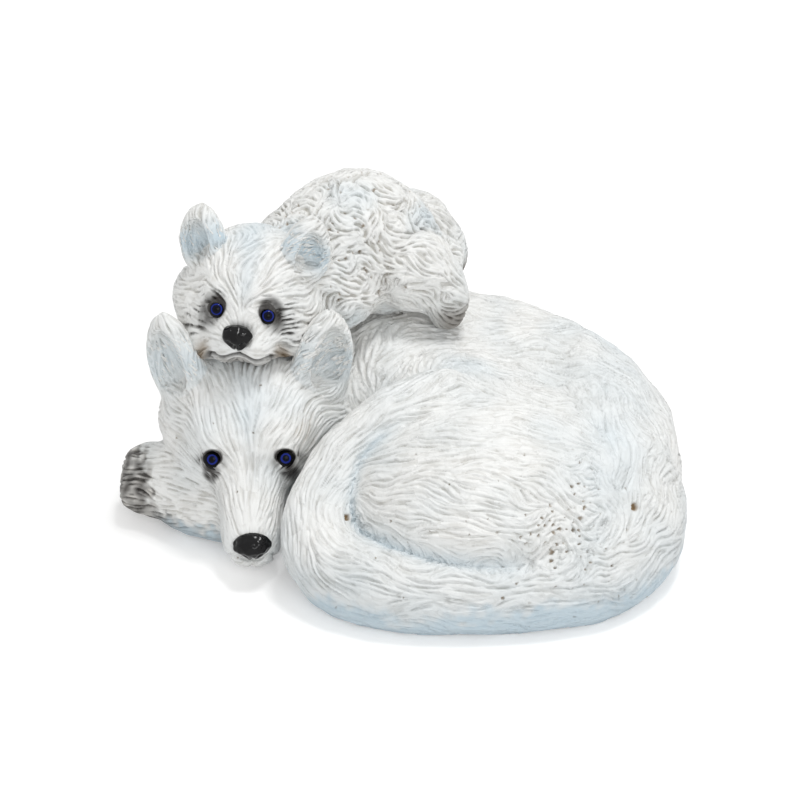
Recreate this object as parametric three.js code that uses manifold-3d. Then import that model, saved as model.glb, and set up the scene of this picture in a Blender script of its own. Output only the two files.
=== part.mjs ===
// Cast and hand-painted ornament of an adult wolf asleep in a curl with its pup lying on its back.
// Millimetres, +Z up, the faces look towards -Y. Left and right are the viewer's, from the front.
import * as THREE from "three";
import Module from "manifold-3d";

const wasm = await Module();
wasm.setup();

// Joints between the castings.
const glueGap = 0.3;
const dowelRadius = 1.5;
const dowelLength = 14;
const dowelClearance = 0.3;
const dowelChamfer = 0.4;

// Felt pads, each in a shallow seat in the flat base: one under the widest station of the tail,
// and the others under the back, at these angles round the curl.
const padRadius = 5;
const padThickness = 1.2;
const padSeatDepth = 0.9;
const padSeatClearance = 0.4;
const padTailStation = 4;
const padAngles = [-42, 22, 132];

// The adult's curled body, laid round the centre of the curl.
const curlX = 12;
const curlY = 0;
const spineRadius = 28.5;
const middleHeight = 15;
const middleRadius = 24;
// The flanks under the back: centre height, and their radius as a share of the back's.
const flankHeight = 8;
const flankShare = 0.9;
// Stations of the back from the rump to the withers: angle round the curl, centre height, radius.
const backStations = [
  [-42, 14.5, 16.5],
  [-15, 15.5, 19.6],
  [15, 16, 20],
  [45, 17, 19.8],
  [80, 19, 20],
  [110, 21.2, 20.6],
  [132, 21, 19.6],
];
// Stations of the neck, from the withers to the nape: x, y, centre height, radius.
const neckStations = [
  [-9, 21, 20, 19],
  [-19, 18, 21, 17],
  [-26, 11, 22.5, 13.5],
];

// The haunch that fills the front of the curl.
const haunchCentre = [18, -15, 16.5];
const haunchLength = 62;
const haunchDepth = 54;
const haunchHeight = 45;
const haunchDowelFrom = [18, -60, 17];

// Broad locks modelled in the fur: their height, how many lie round the section of the back, of
// the haunch and of the pup's trunk, and how many of them drift past in one turn along the fur.
const lockHeight = 1;
const backLocks = 11;
const backDrift = 6;
const haunchLocks = 13;
const haunchDrift = 4;
const trunkLocks = 9;

// The tail, from its root at the rump to its tip on the back: x, y, centre height, radius.
const tailStations = [
  [51.5, -8, 13, 6.5],
  [51.5, -17, 9, 8.4],
  [46.5, -27, 8, 9],
  [35, -35.2, 7.5, 9.4],
  [12, -38.5, 7.5, 9.4],
  [-4, -36.5, 7.5, 9.4],
  [-13.5, -31.5, 8.5, 9],
  [-17.6, -26, 13, 8.2],
  [-15.4, -19, 21, 6.9],
  [-9.6, -14.2, 29, 5.8],
  [-2, -11.5, 35, 4.9],
  [9, -7.5, 39.5, 3.4],
];

// The foreleg folded under the adult's chin, from the elbow to the toes.
const forelegStations = [
  [-31, -9, 8, 7.4],
  [-40, -5, 8.6, 8.4],
  [-48, 1.5, 9.2, 8.4],
  [-54, 5, 9.2, 7.4],
];
const adultToeRadius = 4.4;

// Sizes of a head. Its own frame has the nose towards -Y and the crown towards +Z.
const adultHead = {
  place: [-32.4, 0.4, 28.7],
  pitch: 31,
  yaw: 0,
  roll: -2,
  skull: [15.5, 15, 13],
  muzzleReach: 33,
  muzzleDrop: 6.5,
  muzzleRoot: 9.2,
  muzzleTip: 5.4,
  lipSpread: 2.2,
  chinRadius: 4.2,
  cheek: [8, 9.5, 8.5],
  ruff: [7.5, 8, 9.5],
  ruffSpread: 13.5,
  browHeight: 6.4,
  eyeSpread: 8.2,
  eyeForward: 13.6,
  eyeHeight: 2.6,
  eyeRadius: 2.5,
  noseRise: 2,
  noseWidth: 8.2,
  noseHeight: 6,
  noseDepth: 5.4,
  earHeight: 23.5,
  earWidth: 14.5,
  earDepth: 8.5,
  earWall: 2.1,
  earSpread: 14.3,
  earBack: 2.5,
  earSplay: 9,
  earTurn: 32,
  earTilt: 24,
};
const pupHead = {
  place: [-32, 8.5, 55.6],
  pitch: 8,
  yaw: -6,
  roll: 5,
  skull: [12.2, 12.5, 12.2],
  muzzleReach: 18,
  muzzleDrop: 5.8,
  muzzleRoot: 7.6,
  muzzleTip: 5.4,
  lipSpread: 4,
  chinRadius: 3.8,
  cheek: [7.5, 8.5, 7.5],
  ruff: [6.5, 7, 7.5],
  ruffSpread: 10.5,
  browHeight: 4.4,
  eyeSpread: 5.9,
  eyeForward: 10.6,
  eyeHeight: 0.2,
  eyeRadius: 1.9,
  noseRise: 3.2,
  noseWidth: 6.4,
  noseHeight: 5.2,
  noseDepth: 4.4,
  earHeight: 15,
  earWidth: 11,
  earDepth: 7.2,
  earWall: 1.9,
  earSpread: 10.4,
  earBack: -0.5,
  earSplay: 5,
  earTurn: 28,
  earTilt: 6,
};

// The pup's trunk, from the nape to the rump: x, y, centre height, radius.
const pupTrunkStations = [
  [-25, 16, 54.5, 10],
  [-17, 21.2, 57.4, 12.7],
  [-9, 25, 58.6, 14.2],
  [-2, 25.5, 52.6, 11.8],
];
// Its belly lies this far under the line of the trunk, and is this share of the trunk's radius.
const bellyDrop = 9.5;
const bellyShare = 0.6;
// The hip, which carries the hind legs and the tail.
const pupHip = [0, 27, 54.8];
const pupShoulder = [8, 7.5, 8.5];
const pupThigh = [9.5, 8, 9.5];
const pupLegRadius = 4.8;
const pupPawRadius = 4;
const pupTailRadius = 3.4;

// Facet sizes, the larger ones on the larger castings.
const bodyFacet = 5.3;
const limbFacet = 4.7;
const headFacet = 3.6;
const noseFacet = 1.7;

// A form is a signed distance (negative inside) with the box that holds it.
const vec = (p) => new THREE.Vector3(p[0], p[1], p[2]);
const radians = THREE.MathUtils.degToRad;

// An egg-shaped mass with three half-lengths, turned by a quaternion where one is given.
function mass(centre, half, turn = new THREE.Quaternion()) {
  const back = turn.clone().invert();
  const at = vec(centre);
  const local = new THREE.Vector3();
  const reach = Math.max(...half);
  const distance = (p) => {
    local.copy(p).sub(at).applyQuaternion(back);
    const near = Math.hypot(local.x / half[0], local.y / half[1], local.z / half[2]);
    const slope = Math.hypot(
      local.x / half[0] ** 2,
      local.y / half[1] ** 2,
      local.z / half[2] ** 2,
    );
    return slope > 0 ? (near * (near - 1)) / slope : -reach;
  };
  const box = new THREE.Box3().setFromCenterAndSize(at, vec([2, 2, 2]).multiplyScalar(reach));
  return { distance, box };
}

// One tapered length of a limb, round at both ends.
function taperedLength(a, b, radiusA, radiusB) {
  const along = b.clone().sub(a);
  const length = Math.max(along.length(), Math.abs(radiusA - radiusB) + 1e-3);
  along.normalize();
  const slope = (radiusA - radiusB) / length;
  const side = Math.sqrt(1 - slope * slope);
  const offset = new THREE.Vector3();
  return (p) => {
    offset.copy(p).sub(a);
    const axial = offset.dot(along);
    const radial = Math.sqrt(Math.max(offset.lengthSq() - axial * axial, 0));
    const station = axial * side - radial * slope;
    if (station < 0) return Math.hypot(axial, radial) - radiusA;
    if (station > length * side) return Math.hypot(axial - length, radial) - radiusB;
    return radial * side + axial * slope - radiusA;
  };
}

// A limb swept along a smooth curve through stations of x, y, z, radius.
function limb(stations, steps = 3) {
  const centres = new THREE.CatmullRomCurve3(stations.map(vec), false, "centripetal");
  const radii = new THREE.CatmullRomCurve3(
    stations.map((s, i) => new THREE.Vector3(i, s[3], 0)),
  );
  const count = (stations.length - 1) * steps;
  const box = new THREE.Box3();
  const lengths = [];
  for (let i = 0; i <= count; i++) {
    const centre = centres.getPoint(i / count);
    const radius = radii.getPoint(i / count).y;
    box.union(
      new THREE.Box3().setFromCenterAndSize(centre, vec([2, 2, 2]).multiplyScalar(radius)),
    );
    lengths.push({ centre, radius });
  }
  const parts = lengths
    .slice(1)
    .map((end, i) =>
      taperedLength(lengths[i].centre, end.centre, lengths[i].radius, end.radius),
    );
  return { distance: (p) => Math.min(...parts.map((part) => part(p))), box };
}

// Joins forms as clay is joined, with a fillet of about the given size.
function knead(fillet, ...forms) {
  const distance = (p) => {
    let joined = forms[0].distance(p);
    for (const form of forms.slice(1)) {
      const other = form.distance(p);
      const overlap = Math.max(fillet - Math.abs(joined - other), 0) / fillet;
      joined = Math.min(joined, other) - (overlap * overlap * fillet) / 4;
    }
    return joined;
  };
  const box = forms.reduce((all, form) => all.union(form.box), new THREE.Box3());
  return { distance, box };
}

// Raises locks of fur on a form. The phase at a point counts locks in radians, and the share says
// how high they stand there.
function combed(form, phase, share = () => 1) {
  return {
    distance: (p) => form.distance(p) - 0.5 * lockHeight * share(p) * Math.cos(phase(p)),
    box: form.box.clone().expandByScalar(0.5 * lockHeight),
  };
}

// A form set in another place: the matrix is a turn and a move, without scale.
function placed(form, matrix) {
  const inverse = matrix.clone().invert();
  const local = new THREE.Vector3();
  return {
    distance: (p) => form.distance(local.copy(p).applyMatrix4(inverse).clone()),
    box: form.box.clone().applyMatrix4(matrix),
  };
}

// The skin of a form as a closed mesh with facets of about the given size.
function skin(form, facet) {
  const low = form.box.min.clone().subScalar(1.5 * facet);
  const size = form.box.max.clone().addScalar(1.5 * facet).sub(low);
  const [nx, ny, nz] = [size.x, size.y, size.z].map((s) => Math.ceil(s / facet) + 1);
  const index = (i, j, k) => i + nx * (j + ny * k);
  const gridPoint = (i, j, k) => new THREE.Vector3(i, j, k).multiplyScalar(facet).add(low);
  const values = new Float64Array(nx * ny * nz);
  for (let k = 0; k < nz; k++)
    for (let j = 0; j < ny; j++)
      for (let i = 0; i < nx; i++) values[index(i, j, k)] = form.distance(gridPoint(i, j, k));

  const corners = [0, 1, 2, 3, 4, 5, 6, 7].map((c) => [c & 1, (c >> 1) & 1, c >> 2]);
  const edges = [];
  for (const a of corners.keys())
    for (const bit of [1, 2, 4]) if (!(a & bit)) edges.push([a, a | bit]);
  const cellVertex = new Map();
  const positions = [];
  for (let k = 0; k < nz - 1; k++)
    for (let j = 0; j < ny - 1; j++)
      for (let i = 0; i < nx - 1; i++) {
        const sum = new THREE.Vector3();
        let crossings = 0;
        for (const [a, b] of edges) {
          const [ai, aj, ak] = corners[a];
          const [bi, bj, bk] = corners[b];
          const va = values[index(i + ai, j + aj, k + ak)];
          const vb = values[index(i + bi, j + bj, k + bk)];
          if (va < 0 === vb < 0) continue;
          const start = gridPoint(i + ai, j + aj, k + ak);
          sum.add(start.lerp(gridPoint(i + bi, j + bj, k + bk), va / (va - vb)));
          crossings++;
        }
        if (!crossings) continue;
        cellVertex.set(index(i, j, k), positions.length / 3);
        positions.push(...settle(form, sum.divideScalar(crossings), facet).toArray());
      }

  const triangles = [];
  const steps = [
    [1, 0, 0],
    [0, 1, 0],
    [0, 0, 1],
  ];
  for (let k = 1; k < nz - 1; k++)
    for (let j = 1; j < ny - 1; j++)
      for (let i = 1; i < nx - 1; i++)
        steps.forEach((step, axis) => {
          const inside = values[index(i, j, k)] < 0;
          if (inside === values[index(i + step[0], j + step[1], k + step[2])] < 0) return;
          const u = steps[(axis + 1) % 3];
          const v = steps[(axis + 2) % 3];
          const ring = [
            [0, 0],
            [1, 0],
            [1, 1],
            [0, 1],
          ].map(([a, b]) =>
            cellVertex.get(
              index(i - a * u[0] - b * v[0], j - a * u[1] - b * v[1], k - a * u[2] - b * v[2]),
            ),
          );
          if (!inside) ring.reverse();
          triangles.push(ring[0], ring[1], ring[2], ring[0], ring[2], ring[3]);
        });
  const geometry = new THREE.BufferGeometry();
  geometry.setAttribute("position", new THREE.Float32BufferAttribute(positions, 3));
  geometry.setIndex(triangles);
  return geometry;
}

// Moves a vertex onto the form's own surface, by no more than a third of a facet.
function settle(form, point, facet) {
  const start = point.clone();
  const h = 0.02 * facet;
  for (let pass = 0; pass < 3; pass++) {
    const here = form.distance(point);
    const gradient = new THREE.Vector3(
      form.distance(point.clone().add(vec([h, 0, 0]))) - here,
      form.distance(point.clone().add(vec([0, h, 0]))) - here,
      form.distance(point.clone().add(vec([0, 0, h]))) - here,
    ).divideScalar(h);
    const steep = Math.max(gradient.lengthSq(), 0.25);
    point.addScaledVector(gradient, -here / steep);
  }
  const shift = point.clone().sub(start).clampLength(0, facet / 3);
  return start.add(shift);
}

// Moves every vertex of a skin outwards along its normal, to leave room for a glue line.
function swollen(geometry, amount) {
  const grown = geometry.clone();
  grown.computeVertexNormals();
  const position = grown.getAttribute("position");
  const normal = grown.getAttribute("normal");
  for (let i = 0; i < position.count; i++)
    position.setXYZ(
      i,
      position.getX(i) + amount * normal.getX(i),
      position.getY(i) + amount * normal.getY(i),
      position.getZ(i) + amount * normal.getZ(i),
    );
  return grown;
}

// Welds vertices closer than a tolerance, and drops triangles that close up or cancel out.
function welded(geometry, tolerance) {
  const position = geometry.getAttribute("position");
  const cells = new Map();
  const kept = [];
  const target = [];
  const offsets = [-1, 0, 1];
  const point = new THREE.Vector3();
  for (let i = 0; i < position.count; i++) {
    point.fromBufferAttribute(position, i);
    const [x, y, z] = point.toArray().map((c) => Math.floor(c / tolerance));
    let match;
    for (const dx of offsets)
      for (const dy of offsets)
        for (const dz of offsets) {
          const near = cells.get(`${x + dx},${y + dy},${z + dz}`) ?? [];
          match ??= near.find((k) => kept[k].distanceTo(point) < tolerance);
        }
    if (match === undefined) {
      match = kept.length;
      kept.push(point.clone());
      const cell = `${x},${y},${z}`;
      if (!cells.has(cell)) cells.set(cell, []);
      cells.get(cell).push(match);
    }
    target.push(match);
  }
  const corners = geometry.index ? Array.from(geometry.index.array) : target.map((_, i) => i);
  const faces = new Map();
  for (let i = 0; i < corners.length; i += 3) {
    const face = corners.slice(i, i + 3).map((c) => target[c]);
    if (new Set(face).size < 3) continue;
    const name = [...face].sort((a, b) => a - b).join();
    if (faces.has(name)) faces.delete(name);
    else faces.set(name, face);
  }
  const tidy = new THREE.BufferGeometry();
  const values = kept.flatMap((p) => p.toArray());
  tidy.setAttribute("position", new THREE.Float32BufferAttribute(values, 3));
  tidy.setIndex([...faces.values()].flat());
  return tidy;
}

// Whether every edge is shared by exactly two triangles.
function isClosed(geometry) {
  const uses = new Map();
  const corners = geometry.index.array;
  for (let i = 0; i < corners.length; i += 3)
    for (const [a, b] of [
      [0, 1],
      [1, 2],
      [2, 0],
    ]) {
      const edge = [corners[i + a], corners[i + b]].sort((p, q) => p - q).join();
      uses.set(edge, (uses.get(edge) ?? 0) + 1);
    }
  return [...uses.values()].every((count) => count === 2);
}

// Cuts can leave a fold thinner than a hair: it is welded shut with the least tolerance that does.
function withoutFolds(geometry) {
  for (const tolerance of [0.002, 0.02, 0.05, 0.1, 0.2]) {
    const tidy = welded(geometry, tolerance);
    if (isClosed(tidy)) return tidy;
  }
  return geometry;
}

// A mesh as a solid that can be joined and cut, and back again.
function solid(geometry) {
  const merged = welded(geometry, 1e-4);
  return new wasm.Manifold(
    new wasm.Mesh({
      numProp: 3,
      vertProperties: merged.getAttribute("position").array,
      triVerts: new Uint32Array(merged.index.array),
    }),
  );
}
function geometryOf(body) {
  const made = body.getMesh();
  const geometry = new THREE.BufferGeometry();
  geometry.setAttribute("position", new THREE.BufferAttribute(made.vertProperties, 3));
  geometry.setIndex(new THREE.BufferAttribute(made.triVerts, 1));
  return geometry;
}
const largestOf = (body) =>
  body.decompose().reduce((best, piece) => (piece.volume() > best.volume() ? piece : best));

// A turned pin with chamfered ends, lying along Y about the origin.
function pin(radius, length, chamfer) {
  const half = length / 2;
  const outline = [
    [0, -half],
    [radius - chamfer, -half],
    [radius, chamfer - half],
    [radius, half - chamfer],
    [radius - chamfer, half],
    [0, half],
  ].map(([x, y]) => new THREE.Vector2(x, y));
  return new THREE.LatheGeometry(outline, 10);
}
const turnTo = (axis) =>
  new THREE.Quaternion().setFromUnitVectors(vec([0, 1, 0]), vec(axis).normalize());

// Walks from outside a form until it meets the surface.
function touchdown(form, from, direction) {
  const point = vec(from);
  const step = vec(direction).normalize();
  for (let i = 0; i < 200; i++) {
    const gap = form.distance(point);
    if (gap < 1e-3) break;
    point.addScaledVector(step, Math.max(0.6 * gap, 1e-3));
  }
  return point;
}

// The two sides of a symmetric animal, seen from the front.
const sides = [
  ["left", -1],
  ["right", 1],
];

// The mass of a head in its own frame: skull, muzzle, chin, lips, brows, cheeks and ruffs.
function headForm(h) {
  const [skullX, skullY, skullZ] = h.skull;
  const tipY = h.muzzleTip - h.muzzleReach;
  const muzzle = limb([
    [0, -0.35 * skullY, -0.2 * h.muzzleDrop, h.muzzleRoot],
    [0, tipY, -h.muzzleDrop, h.muzzleTip],
  ]);
  const chin = limb([
    [0, -0.3 * skullY, -h.muzzleDrop - 0.3 * h.muzzleTip, h.chinRadius],
    [0, tipY + 0.5 * h.chinRadius, -h.muzzleDrop - 0.8 * h.muzzleTip, h.chinRadius],
  ]);
  const pairs = sides.flatMap(([, side]) => [
    mass([0.6 * side * skullX, -0.25 * skullY, -0.4 * skullZ], h.cheek),
    mass([side * h.ruffSpread, 0.12 * skullY, -0.5 * skullZ], h.ruff),
    mass(
      [side * h.lipSpread, tipY, -h.muzzleDrop - 0.35 * h.muzzleTip],
      [0.6 * h.muzzleTip, 0.85 * h.muzzleTip, 0.65 * h.muzzleTip],
    ),
    mass(
      [0.85 * side * h.eyeSpread, 0.4 * skullY - h.eyeForward, h.browHeight - 1],
      [0.5 * h.eyeSpread, 0.45 * h.eyeForward, 0.5 * h.browHeight],
    ),
  ]);
  return knead(0.28 * skullX, mass([0, 0, 0], h.skull), muzzle, chin, ...pairs);
}

// A leaf-shaped ear standing on its root, cupped towards -Y, with a wall of even thickness.
function earShell(h) {
  const leaf = (width, height, depth) => {
    const rings = 7;
    const outline = [new THREE.Vector2(0, 0)];
    for (let i = 0; i < rings; i++) {
      const spread = Math.sin(Math.PI * (0.22 + (0.78 * i) / rings)) ** 0.62;
      outline.push(new THREE.Vector2((width / 2) * spread, (i / rings) * height));
    }
    outline.push(new THREE.Vector2(0, height));
    return new THREE.LatheGeometry(outline, 12).rotateX(Math.PI / 2).scale(1, depth / width, 1);
  };
  const floor = 0.18 * h.earHeight;
  const outer = leaf(h.earWidth, h.earHeight, h.earDepth);
  const scoop = leaf(
    h.earWidth - 2 * h.earWall,
    h.earHeight - floor - 1.2 * h.earWall,
    h.earDepth,
  ).translate(0, -h.earWall, floor);
  return geometryOf(solid(outer).subtract(solid(scoop)));
}

// The leather of a nose: a broad pad over a narrower lip, with two nostrils pressed in.
function noseLeather(h) {
  const [w, d, t] = [h.noseWidth / 2, h.noseDepth / 2, h.noseHeight / 2];
  const leather = knead(
    0.5 * t,
    mass([0, 0, 0.3 * t], [w, d, 0.7 * t]),
    mass([0, 0, -0.4 * t], [0.6 * w, 0.85 * d, 0.6 * t]),
  );
  let nose = solid(skin(leather, noseFacet));
  for (const [, side] of sides) {
    const nostril = new THREE.SphereGeometry(1, 10, 6)
      .scale(0.22 * w, 0.4 * d, 0.25 * t)
      .translate(0.5 * side * w, -0.95 * d, 0);
    nose = nose.subtract(solid(nostril));
  }
  return geometryOf(nose);
}

// A head with its ears, eyes and nose, all seated on it, in the ornament's frame.
function buildHead(h) {
  const turn = new THREE.Euler(radians(h.pitch), radians(h.roll), radians(h.yaw), "ZXY");
  const pose = new THREE.Matrix4().makeRotationFromEuler(turn).setPosition(...h.place);
  const form = headForm(h);
  const head = { form: placed(form, pose), eyes: {}, ears: {} };
  for (const [name, side] of sides) {
    const lid = touchdown(form, [side * h.eyeSpread, -2 * h.muzzleReach, h.eyeHeight], [0, 1, 0]);
    head.eyes[name] = new THREE.SphereGeometry(h.eyeRadius, 12, 8)
      .rotateX(Math.PI / 2)
      .translate(lid.x, lid.y + 0.5 * h.eyeRadius, lid.z)
      .applyMatrix4(pose);
    const root = touchdown(form, [side * h.earSpread, h.earBack, 3 * h.skull[2]], [0, 0, -1]);
    head.ears[name] = earShell(h)
      .rotateZ(side * radians(h.earTurn))
      .rotateX(radians(-h.earTilt))
      .rotateY(side * radians(h.earSplay))
      .translate(root.x, root.y, root.z - 0.22 * h.earHeight)
      .applyMatrix4(pose);
  }
  const tipHeight = h.noseRise - h.muzzleDrop;
  const tip = touchdown(form, [0, -2 * h.muzzleReach, tipHeight], [0, 1, 0]);
  head.nose = noseLeather(h)
    .translate(tip.x, tip.y + 0.12 * h.noseDepth, tip.z)
    .applyMatrix4(pose);
  return head;
}

// Forms of the adult.
const roundCurl = ([angle, height, radius]) => [
  curlX + spineRadius * Math.cos(radians(angle)),
  curlY + spineRadius * Math.sin(radians(angle)),
  height,
  radius,
];
const backLine = [...backStations.map(roundCurl), ...neckStations];
const flankLine = backLine.map(([x, y, , radius]) => [x, y, flankHeight, flankShare * radius]);
const bodyForm = combed(
  knead(
    8,
    knead(4, limb(backLine), limb(flankLine)),
    mass([curlX, curlY, middleHeight], [middleRadius, middleRadius, middleRadius]),
  ),
  (p) => {
    const outward = Math.hypot(p.x - curlX, p.y - curlY) - spineRadius;
    const along = Math.atan2(p.y - curlY, p.x - curlX);
    return backLocks * Math.atan2(p.z - middleHeight, outward) + backDrift * along;
  },
);
const haunchForm = combed(
  mass(haunchCentre, [haunchLength / 2, haunchDepth / 2, haunchHeight / 2]),
  (p) => {
    const round = Math.atan2(p.z - haunchCentre[2], p.y - haunchCentre[1]);
    return haunchLocks * round + (haunchDrift * (p.x - haunchCentre[0])) / haunchDepth;
  },
  (p) => Math.max(0, 1 - ((2 * (p.x - haunchCentre[0])) / haunchLength) ** 2),
);
const tailForm = limb(tailStations, 4);
const [pawX, pawY, pawZ] = forelegStations.at(-1);
const toe = (dx, dy, dz) =>
  mass([pawX + dx, pawY + dy, pawZ + dz], [adultToeRadius, adultToeRadius, adultToeRadius]);
const forelegForm = knead(2, limb(forelegStations), toe(-2.6, -3.6, -2.4), toe(-2.8, 2.4, 1.6));
const adult = buildHead(adultHead);

// Forms of the pup. Its trunk takes in the shoulder that shows behind the cheek.
const pup = buildHead(pupHead);
const [chestX, chestY, chestZ] = pupTrunkStations[1];
const [rumpX, rumpY] = pupTrunkStations.at(-1);
const [hipX, hipY, hipZ] = pupHip;
const bellyLine = pupTrunkStations.map(([x, y, z, r]) => [
  x + 1,
  y + 0.5,
  z - bellyDrop,
  bellyShare * r,
]);
const trunkForm = combed(
  knead(
    4,
    limb(pupTrunkStations),
    limb(bellyLine),
    mass([chestX + 3.5, chestY - 8.5, chestZ - 7], pupShoulder),
  ),
  (p) => trunkLocks * Math.atan2(p.z - chestZ + 0.5 * bellyDrop, p.y - chestY),
);
const pupLeg = (side) => {
  const thighY = hipY + 9 * side;
  return knead(
    2,
    mass([hipX + 1.5, thighY, hipZ - 1], pupThigh),
    limb([
      [hipX + 6.5, thighY + side, hipZ - 2, pupLegRadius + 0.6],
      [hipX + 10, thighY + side, hipZ - 6.5, pupLegRadius],
      [hipX + 9.8, thighY + 2 * side, hipZ - 10.5, pupPawRadius],
    ]),
  );
};
const pupTailForm = limb([
  [hipX + 2, hipY, hipZ + 4.2, pupTailRadius - 0.4],
  [hipX + 8, hipY - 1.5, hipZ + 0.7, pupTailRadius - 0.2],
  [hipX + 12.5, hipY - 6, hipZ - 1.3, pupTailRadius - 0.8],
]);
const pupArmForm = limb([
  [chestX + 1, chestY + 8, chestZ - 9, 5.4],
  [chestX + 4, chestY + 14, chestZ - 14.5, 5],
  [chestX + 1, chestY + 19, chestZ - 20, 4.2],
]);

// The finishes.
const finish = (color, roughness, metalness = 0) =>
  new THREE.MeshStandardMaterial({ color, roughness, metalness });
const resin = finish(0xe8ecee, 0.6);
const earResin = finish(0xdbe5ec, 0.6);
const pawResin = finish(0xb5b1a6, 0.65);
const enamel = finish(0x0c0c10, 0.12);
const steel = finish(0x9a9fa5, 0.35, 1);
const felt = finish(0x2f3235, 0.95);

// The pieces, each cut back from every piece set before it so that a glue line stays between them.
const baseHeight = padThickness - padSeatDepth;
const overBase = solid(new THREE.BoxGeometry(400, 400, 200).translate(0, 0, baseHeight + 100));
const pieces = [];
function set(name, clay, material) {
  const whole = solid(clay);
  const envelope = solid(swollen(geometryOf(whole), glueGap));
  let body = whole.intersect(overBase);
  for (const earlier of pieces) body = body.subtract(earlier.envelope);
  pieces.push({ name, body: largestOf(body), envelope, material });
}
set("adult_body", skin(bodyForm, bodyFacet), resin);
set("adult_haunch", skin(haunchForm, bodyFacet), resin);
set("adult_tail", skin(tailForm, limbFacet), resin);
function setHead(animal, head) {
  set(`${animal}_nose`, head.nose, enamel);
  for (const [side] of sides) set(`${animal}_eye_${side}`, head.eyes[side], enamel);
  set(`${animal}_head`, skin(head.form, headFacet), resin);
  for (const [side] of sides) set(`${animal}_ear_${side}`, head.ears[side], earResin);
}
setHead("adult", adult);
set("adult_foreleg", skin(forelegForm, limbFacet), pawResin);
set("pup_body", skin(trunkForm, limbFacet), resin);
setHead("pup", pup);
set("pup_hind_leg_right", skin(pupLeg(-1), headFacet), resin);
set("pup_hind_leg_left", skin(pupLeg(1), headFacet), resin);
set("pup_foreleg", skin(pupArmForm, headFacet), resin);
set("pup_tail", skin(pupTailForm, headFacet), resin);

// Dowels across the glued joints, each with a blind hole in the castings on both sides.
const seatUnder = (x, y) => touchdown(bodyForm, [x, y, 100], [0, 0, -1]).toArray();
const between = (form, inside, outside) => {
  const direction = vec(inside).sub(vec(outside)).toArray();
  return [touchdown(form, outside, direction).toArray(), direction];
};
const dowels = {
  dowel_pup_front: [seatUnder(chestX, chestY), [0, 0, 1]],
  dowel_pup_rear: [seatUnder(rumpX, rumpY - 2), [0, 0, 1]],
  dowel_adult_head: between(bodyForm, neckStations.at(-1), adultHead.place),
  dowel_pup_head: between(trunkForm, pupTrunkStations[0], pupHead.place),
  dowel_haunch: between(bodyForm, [curlX, curlY, middleHeight], haunchDowelFrom),
};
for (const [middle, axis] of Object.values(dowels)) {
  const hole = pin(
    dowelRadius + dowelClearance,
    dowelLength + 2 * dowelClearance,
    dowelChamfer,
  )
    .applyQuaternion(turnTo(axis))
    .translate(...middle);
  for (const piece of pieces) piece.body = piece.body.subtract(solid(hole));
}

// Seats for the felt pads. Each pad lies against its seat's ceiling and stands proud of the base.
const padPlaces = [
  tailStations[padTailStation].slice(0, 2),
  ...padAngles.map((angle) => roundCurl([angle]).slice(0, 2)),
];
const disc = (radius) =>
  new THREE.CylinderGeometry(radius, radius, padThickness, 20).rotateX(Math.PI / 2);
for (const [x, y] of padPlaces) {
  const seat = solid(disc(padRadius + padSeatClearance).translate(x, y, padThickness / 2));
  for (const piece of pieces) piece.body = piece.body.subtract(seat);
}

// The ornament: the adult, the pup, and the dowels and pads that are hidden in the finished piece.
const ornament = new THREE.Group();
const [adultGroup, pupGroup, fixings] = [new THREE.Group(), new THREE.Group(), new THREE.Group()];
ornament.add(adultGroup, pupGroup, fixings);
function place(parent, name, geometry, material) {
  const mesh = new THREE.Mesh(geometry, material.clone());
  mesh.name = name;
  parent.add(mesh);
  return mesh;
}
for (const { name, body, material } of pieces) {
  const parent = name.startsWith("pup") ? pupGroup : adultGroup;
  place(parent, name, withoutFolds(geometryOf(body)), material);
}
for (const [name, [middle, axis]] of Object.entries(dowels)) {
  const dowel = place(fixings, name, pin(dowelRadius, dowelLength, dowelChamfer), steel);
  dowel.position.set(...middle);
  dowel.quaternion.copy(turnTo(axis));
}
padPlaces.forEach(([x, y], i) => {
  place(fixings, `base_pad_${i + 1}`, disc(padRadius), felt).position.set(x, y, padThickness / 2);
});

// The origin is under the middle of the bounding box.
ornament.updateMatrixWorld(true);
const bounds = new THREE.Box3().setFromObject(ornament);
const centre = bounds.getCenter(new THREE.Vector3());
ornament.position.set(-centre.x, -centre.y, -bounds.min.z);
export default ornament;
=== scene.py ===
"""Looks of a cast resin ornament: an adult wolf lying in a curl, its pup on its back.

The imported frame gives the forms. Each animal's castings are read as distances, fused into one
modelled surface, combed with fur strokes and cut apart again, one closed piece for each casting.
Lengths are in millimetres until a mesh is made, and in metres from then on.
"""

import math

import bpy
import numpy as np
import openvdb
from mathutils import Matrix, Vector


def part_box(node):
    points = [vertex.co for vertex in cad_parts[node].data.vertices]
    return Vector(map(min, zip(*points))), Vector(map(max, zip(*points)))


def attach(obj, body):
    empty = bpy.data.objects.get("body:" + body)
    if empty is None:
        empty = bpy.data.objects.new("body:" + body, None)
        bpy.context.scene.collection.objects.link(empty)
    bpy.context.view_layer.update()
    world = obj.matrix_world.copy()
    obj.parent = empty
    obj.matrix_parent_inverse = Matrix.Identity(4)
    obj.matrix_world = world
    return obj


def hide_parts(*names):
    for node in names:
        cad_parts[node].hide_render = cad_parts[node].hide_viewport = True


bl_info = {
    "name": "Curled wolf and pup ornament",
    "version": (1, 0, 0),
    "blender": (4, 5, 0),
    "location": "3D View > Sidebar > Ornament",
    "description": "Models the coats, eyes, noses and stage of a cast animal ornament",
    "category": "Object",
}

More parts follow.
